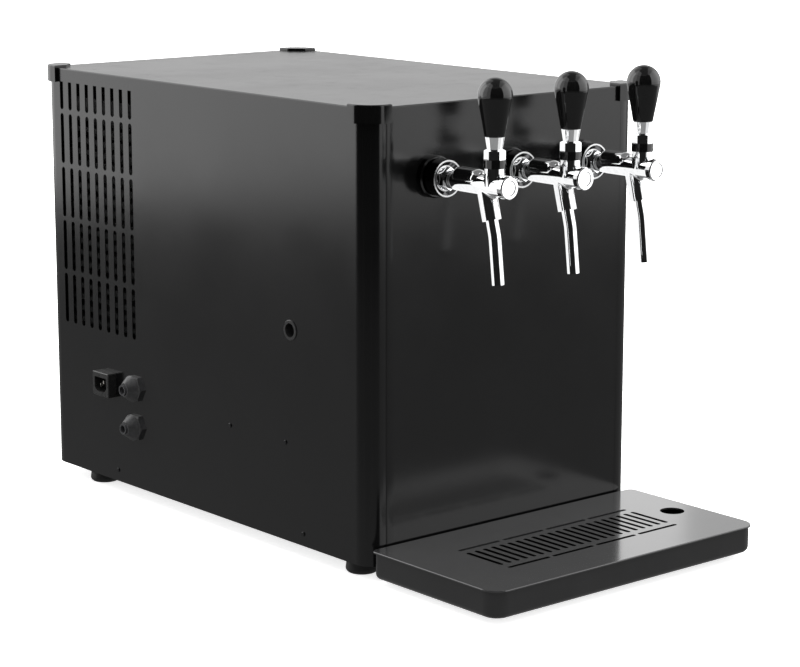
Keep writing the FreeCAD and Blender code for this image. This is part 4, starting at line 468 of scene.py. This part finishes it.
nickel, principled = mottled("pin_nickel", metallic=1.0,
                             gloss=((900, 4, 0.7), (0.3, 0.7), (0.2, 0.34)),
                             wear=((600, 5, 0.7), (0.4, 0.8), (NICKEL_BRIGHT, NICKEL_WORN)),
                             grain=((5200, 2), 0.000006, 0.6))
finish_nodes(nickel, "inlet_pins")
for name in ("upper_hose_fitting", "lower_hose_fitting", "fitting_nuts", "upper_release_collet",
             "lower_release_collet"):
    nodes[name].visible_glossy = False


# ---------------------------------------------------------------------------------------------------------
# Thermostat: a black moulded bezel and body behind the left panel, with a blackened steel spindle that is
# turned with a screwdriver.
# ---------------------------------------------------------------------------------------------------------
BEZEL_BLACK = (0.014, 0.014, 0.014)
BEZEL_WORN = (0.03, 0.03, 0.03)
SPINDLE_BLACK = (0.02, 0.02, 0.02)
SPINDLE_WORN = (0.07, 0.068, 0.066)

bezel, principled = mottled("thermostat_black",
                            gloss=((260, 4), (0.3, 0.7), (0.26, 0.38)),
                            wear=((220, 5, 0.7), (0.45, 0.8), (BEZEL_BLACK, BEZEL_WORN)),
                            grain=((3000, 2), 0.00002, 0.5))
finish_nodes(bezel, "thermostat")

spindle, principled = mottled("spindle_blackened_steel", metallic=1.0,
                              gloss=((700, 4, 0.7), (0.3, 0.7), (0.34, 0.5)),
                              wear=((800, 5, 0.7), (0.5, 0.8), (SPINDLE_BLACK, SPINDLE_WORN)),
                              grain=((5200, 2), 0.000008, 0.6))
finish_nodes(spindle, "thermostat_spindle")


# ---------------------------------------------------------------------------------------------------------
# Taps, metal parts: body, nose cap, bonnet nut, spout and lever are turned or cast brass, polished and
# chromium plated.  The coupling nut is blackened all over but for its bright front rim.
# ---------------------------------------------------------------------------------------------------------
CHROME = (0.86, 0.865, 0.87)
CHROME_HAZE = (0.76, 0.77, 0.78)
NUT_BLACK = (0.07, 0.07, 0.072)
NUT_RIM = -0.2450
NUT_RIM_BLEND = 0.0008
STEM_BRIGHT = (0.56, 0.56, 0.56)
STEM_DULL = (0.44, 0.44, 0.43)
SIDES = ("left", "middle", "right")


def stretched(tree, place, scale, turn=0.0):
    """Coordinates that draw a pattern out into strokes."""
    mapping = tree.nodes.new("ShaderNodeMapping")
    mapping.inputs["Scale"].default_value = scale
    mapping.inputs["Rotation"].default_value = (0, 0, turn)
    tree.links.new(place, mapping.inputs["Vector"])
    return mapping.outputs["Vector"]


def plated(name):
    """Polished chrome plate: almost a mirror, with faint wipe marks and fine scratches."""
    material, tree, principled, place = shader(name, CHROME, 0.04, 1.0)
    wiped = stretched(tree, place, (1, 1, 0.12))
    gloss = ramp(tree, noise(tree, wiped, 420, 5, 0.7), 0.4, 0.75, 0.03, 0.075)
    tree.links.new(gloss, principled.inputs["Roughness"])
    tint(tree, principled, ramp(tree, noise(tree, place, 160, 5, 0.7), 0.4, 0.8, 0.0, 1.0),
         CHROME, CHROME_HAZE)
    relief(tree, principled, noise(tree, wiped, 1500, 3), 0.000004, 0.5)
    return material, tree, principled, place, gloss


chrome = plated("chrome_plate")[0]
for side in SIDES:
    finish_nodes(chrome, side + "_tap_body", side + "_tap_spout", side + "_tap_lever")
finish_nodes(chrome, "nose_caps", "bonnet_nuts", "shank_nuts")

nut_chrome, tree, principled, place, gloss = plated("chrome_plate_coupling_nut")
in_front = ramp(tree, axes(tree, place)["Y"], NUT_RIM, NUT_RIM - NUT_RIM_BLEND, 0.0, 1.0)
facing = axes(tree, tree.nodes.new("ShaderNodeNewGeometry").outputs["True Normal"])["Y"]
bright = combine(tree, "MULTIPLY", in_front, ramp(tree, facing, -0.90, -0.96, 0.0, 1.0))
tint(tree, principled, bright, NUT_BLACK, CHROME)
tree.links.new(combine(tree, "ADD", gloss, ramp(tree, bright, 0.0, 1.0, 0.10, 0.30)),
               principled.inputs["Roughness"])
finish_nodes(nut_chrome, "coupling_nuts")

steel, tree, principled, place = shader("stem_stainless", STEM_BRIGHT, 0.25, 1.0)
turned = stretched(tree, place, (1, 12, 1))
tree.links.new(ramp(tree, noise(tree, turned, 300, 4), 0.3, 0.7, 0.2, 0.34), principled.inputs["Roughness"])
tint(tree, principled, ramp(tree, noise(tree, place, 200, 5, 0.7), 0.4, 0.8, 0.0, 1.0),
     STEM_BRIGHT, STEM_DULL)
relief(tree, principled, noise(tree, turned, 900, 3), 0.00001, 0.6)
finish_nodes(steel, *[side + "_tap_valve_stem" for side in SIDES])


# ---------------------------------------------------------------------------------------------------------
# Taps, black parts: the wall flange with its threaded shank, the ring over the lever's ball, and the knob,
# turned from hard phenolic and polished.
# ---------------------------------------------------------------------------------------------------------
FLANGE_BLACK = (0.065, 0.065, 0.066)
FLANGE_WORN = (0.09, 0.09, 0.088)
KNOB_BLACK = (0.003, 0.003, 0.003)
KNOB_WORN = (0.007, 0.007, 0.007)

flange, principled = mottled("flange_blackened", metallic=1.0,
                             gloss=((200, 4), (0.3, 0.7), (0.12, 0.2)),
                             wear=((260, 6, 0.7), (0.45, 0.8), (FLANGE_BLACK, FLANGE_WORN)),
                             grain=((2600, 2), 0.00001, 0.5))
phenolic, principled = mottled("knob_phenolic",
                               gloss=((130, 5, 0.7), (0.35, 0.75), (0.05, 0.1)),
                               wear=((300, 6, 0.75), (0.5, 0.8), (KNOB_BLACK, KNOB_WORN)),
                               grain=((1800, 3), 0.000005, 0.4))
principled.inputs["IOR"].default_value = 1.42
for side in SIDES:
    finish_nodes(flange, side + "_tap_shank")
    finish_nodes(phenolic, side + "_tap_lever_cup", side + "_tap_knob")


# ---------------------------------------------------------------------------------------------------------
# Lights of the taps: tall strips to the right and the left, which only the polished pieces reflect, and a
# glowing card behind each tap, close to the casing, that puts the bright edges on its chrome and its knob.
# ---------------------------------------------------------------------------------------------------------
STRIP_REACH = 2.4
TAPS_MIDDLE = (0.01, -0.33)
CARD_REACH = 0.068
CARD_LEFT = 0.151
CARD_LOW = 0.2
CARD_BONNET = 0.445
CARD_BODY = 0.43
CARD_KNOB = 0.515
CARD_FAR = 1.0
CHROME_PARTS = ("_tap_body", "_tap_spout", "_tap_lever")
KNOB_PARTS = ("_tap_lever_cup", "_tap_knob")


def card(name, x, left, right, low, high, radiance, members):
    """A glowing card behind the taps that only the named pieces mirror; its ends are left and right of x."""
    light = soft_box(name, 90, CARD_REACH, left, right, low, high, radiance, (x, TAPS_MIDDLE[1]))
    light.light_linking.receiver_collection = pieces(name + "_pieces", members)
    light.visible_camera = False


chrome_pieces = pieces("chrome_pieces", ["nose_caps", "bonnet_nuts"]
                       + [side + part for side in SIDES for part in CHROME_PARTS])
knob_pieces = pieces("black_pieces", [side + part for side in SIDES for part in KNOB_PARTS])
for name, turn, half_angle, low, high, radiance, reached in (
        ("chrome_strip_right", 292.5, 22.5, -1.7, 3.6, 0.6, chrome_pieces),
        ("chrome_strip_far_right", 337.5, 22.5, -1.7, 3.6, 1.0, chrome_pieces),
        ("knob_strip_left", 158, 37, -0.2, 7.0, 1.4, knob_pieces),
        ("knob_strip_right", 322, 50, -0.2, 7.0, 1.0, knob_pieces)):
    half = STRIP_REACH * math.tan(math.radians(half_angle))
    strip = soft_box(name, turn, STRIP_REACH, half, half, low, high, radiance, TAPS_MIDDLE)
    strip.light_linking.receiver_collection = reached
card("bonnet_glow", 0.0, 0.25, CARD_FAR, CARD_BONNET, CARD_FAR, 1.0, ["nose_caps", "bonnet_nuts"])
for side in SIDES:
    x = sum(extent(side + "_tap_spout", 0)) / 2
    card(side + "_spout_glow", x, CARD_LEFT, CARD_FAR, CARD_LOW, CARD_FAR, 1.2,
         [side + "_tap_spout", side + "_tap_lever"])
    card(side + "_body_glow", x, CARD_LEFT, CARD_FAR, CARD_LOW, CARD_BODY, 1.1, [side + "_tap_body"])
    card(side + "_knob_glow", x, 0.40, 0.02, CARD_KNOB, 0.75, 0.8, [side + "_tap_knob"])


# ---------------------------------------------------------------------------------------------------------
# Drip tray: a tub that catches the drips and a slotted lid, both moulded in black plastic with a fine
# spark-eroded grain.  The lid lifts out of the tub by its finger hole.
# ---------------------------------------------------------------------------------------------------------
TRAY_BLACK = (0.020, 0.020, 0.0203)
TRAY_BLACK_WORN = (0.028, 0.028, 0.0284)
# The tub's black is darker than the lid's: painted shade on the tray's sides.
TUB_SHADED_BLACK = (0.011, 0.011, 0.0112)
# Painted shade for the walls of the grille's slots: near black, a little lighter in patches.
SLOT_PAINTED_SHADE = (0.001, 0.001, 0.001)
SLOT_PAINTED_SHADE_LIGHTER = (0.003, 0.003, 0.0028)
SLOT_ROUND = 0.0006
GRILLE_LEFT, GRILLE_RIGHT = -0.122, 0.142
GRILLE_FRONT, GRILLE_REAR = -0.378, -0.293
HOLE_RIGHT = 0.19
SAME_HEIGHT = 0.00002
TRAY_RIGHT_HALF = (0.15, -0.35)


def copy_of(name, node):
    """A merged copy of a CAD node's mesh, as a new piece that is selected and active."""
    piece = bpy.data.objects.new(name, nodes[node].data.copy())
    bpy.context.scene.collection.objects.link(piece)
    deselect()
    piece.select_set(True)
    bpy.context.view_layer.objects.active = piece
    bpy.ops.mesh.customdata_custom_splitnormals_clear()
    bpy.ops.object.mode_set(mode="EDIT")
    bpy.ops.mesh.select_all(action="SELECT")
    bpy.ops.mesh.remove_doubles(threshold=1e-6)
    bpy.ops.mesh.dissolve_limited(angle_limit=math.radians(0.5))
    bpy.ops.mesh.select_all(action="DESELECT")
    bpy.ops.object.mode_set(mode="OBJECT")
    return piece


def moulded(name, black, worn, coat):
    """Black moulded plastic with a fine grain, rubbed a little lighter along the way it is wiped."""
    material, tree, principled, place = shader(name, black, 0.13)
    scuffs = stretched(tree, place, (1, 0.1, 1), turn=0.5)
    scuffed = ramp(tree, noise(tree, scuffs, 260, 6, 0.75), 0.6, 0.8, 0.0, 1.0)
    tree.links.new(combine(tree, "ADD", ramp(tree, noise(tree, place, 12, 4), 0.3, 0.7, 0.11, 0.15),
                           combine(tree, "MULTIPLY", scuffed, 0.03)), principled.inputs["Roughness"])
    tint(tree, principled, combine(tree, "ADD", combine(tree, "MULTIPLY", scuffed, 0.5),
                                   ramp(tree, noise(tree, place, 20, 5, 0.65), 0.35, 0.75, 0.0, 0.4)),
         black, worn)
    relief(tree, principled, noise(tree, place, 2600, 2), 0.000006, 0.5)
    principled.inputs["Coat Weight"].default_value = coat
    principled.inputs["Coat Roughness"].default_value = 0.12
    return material


# The tub is a darker black than the lid, as painted shade that keeps the tray's sides dark.
finish_nodes(moulded("tray_tub_black_painted_shade", TUB_SHADED_BLACK, TRAY_BLACK, 0.3), "tray_tub")
tray = moulded("tray_lid_black", TRAY_BLACK, TRAY_BLACK_WORN, 0.8)

# The upright walls of the grille's slots take a near-black, dull finish: painted shade inside the slots,
# darker than the lid's plastic.
slot_wall_shade, tree, principled, place = shader("tray_slot_walls_painted_shade", SLOT_PAINTED_SHADE, 0.9)
principled.inputs["Specular IOR Level"].default_value = 0.1
tint(tree, principled, ramp(tree, noise(tree, place, 300, 5, 0.7), 0.4, 0.8, 0.0, 1.0),
     SLOT_PAINTED_SHADE, SLOT_PAINTED_SHADE_LIGHTER)
relief(tree, principled, noise(tree, place, 1800, 4), 0.00004, 0.6)

lid = copy_of("tray_lid_with_rounded_slots", "tray_lid")
lid.data.materials.clear()
lid.data.materials.append(tray)
lid.data.materials.append(slot_wall_shade)
lid_top = extent("tray_lid", 2)[1]
faces_at = {}
for polygon in lid.data.polygons:
    middle = polygon.center
    in_grille = GRILLE_LEFT < middle.x < GRILLE_RIGHT and GRILLE_FRONT < middle.y < GRILLE_REAR
    # Upright faces inside the grille get the painted slot shade; all other faces get the lid's plastic.
    polygon.material_index = 1 if in_grille and abs(polygon.normal.z) < 0.5 else 0
    for key in polygon.edge_keys:
        faces_at.setdefault(key, []).append(polygon.normal)
for edge in lid.data.edges:
    ends = [lid.data.vertices[i].co for i in edge.vertices]
    faces = faces_at[tuple(sorted(edge.vertices))]
    on_top = all(abs(end.z - lid_top) < SAME_HEIGHT and GRILLE_LEFT < end.x < HOLE_RIGHT for end in ends)
    edge.select = on_top and len(faces) == 2 and faces[0].angle(faces[1]) > 1.0
bpy.ops.object.mode_set(mode="EDIT")
bpy.ops.mesh.bevel(offset=SLOT_ROUND, segments=2, affect="EDGES", material=0, clamp_overlap=True)
bpy.ops.mesh.select_all(action="DESELECT")
bpy.ops.object.mode_set(mode="OBJECT")
bpy.ops.object.shade_smooth_by_angle(angle=math.radians(35))
bpy.ops.object.modifier_add(type="WEIGHTED_NORMAL")
lid.modifiers[-1].keep_sharp = True
bpy.ops.object.modifier_apply(modifier=lid.modifiers[-1].name)
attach(lid, "drip_tray_lid")
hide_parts("tray_lid")

tray_strip = soft_box("tray_strip", turn=51, reach=SOFTBOX_REACH, left=0.7, right=0.45, low=0.45, high=1.6,
                      radiance=0.5, about=TRAY_RIGHT_HALF)
tray_strip.light_linking.receiver_collection = pieces("tray_pieces", ["tray_tub"])
tray_strip.light_linking.receiver_collection.objects.link(lid)
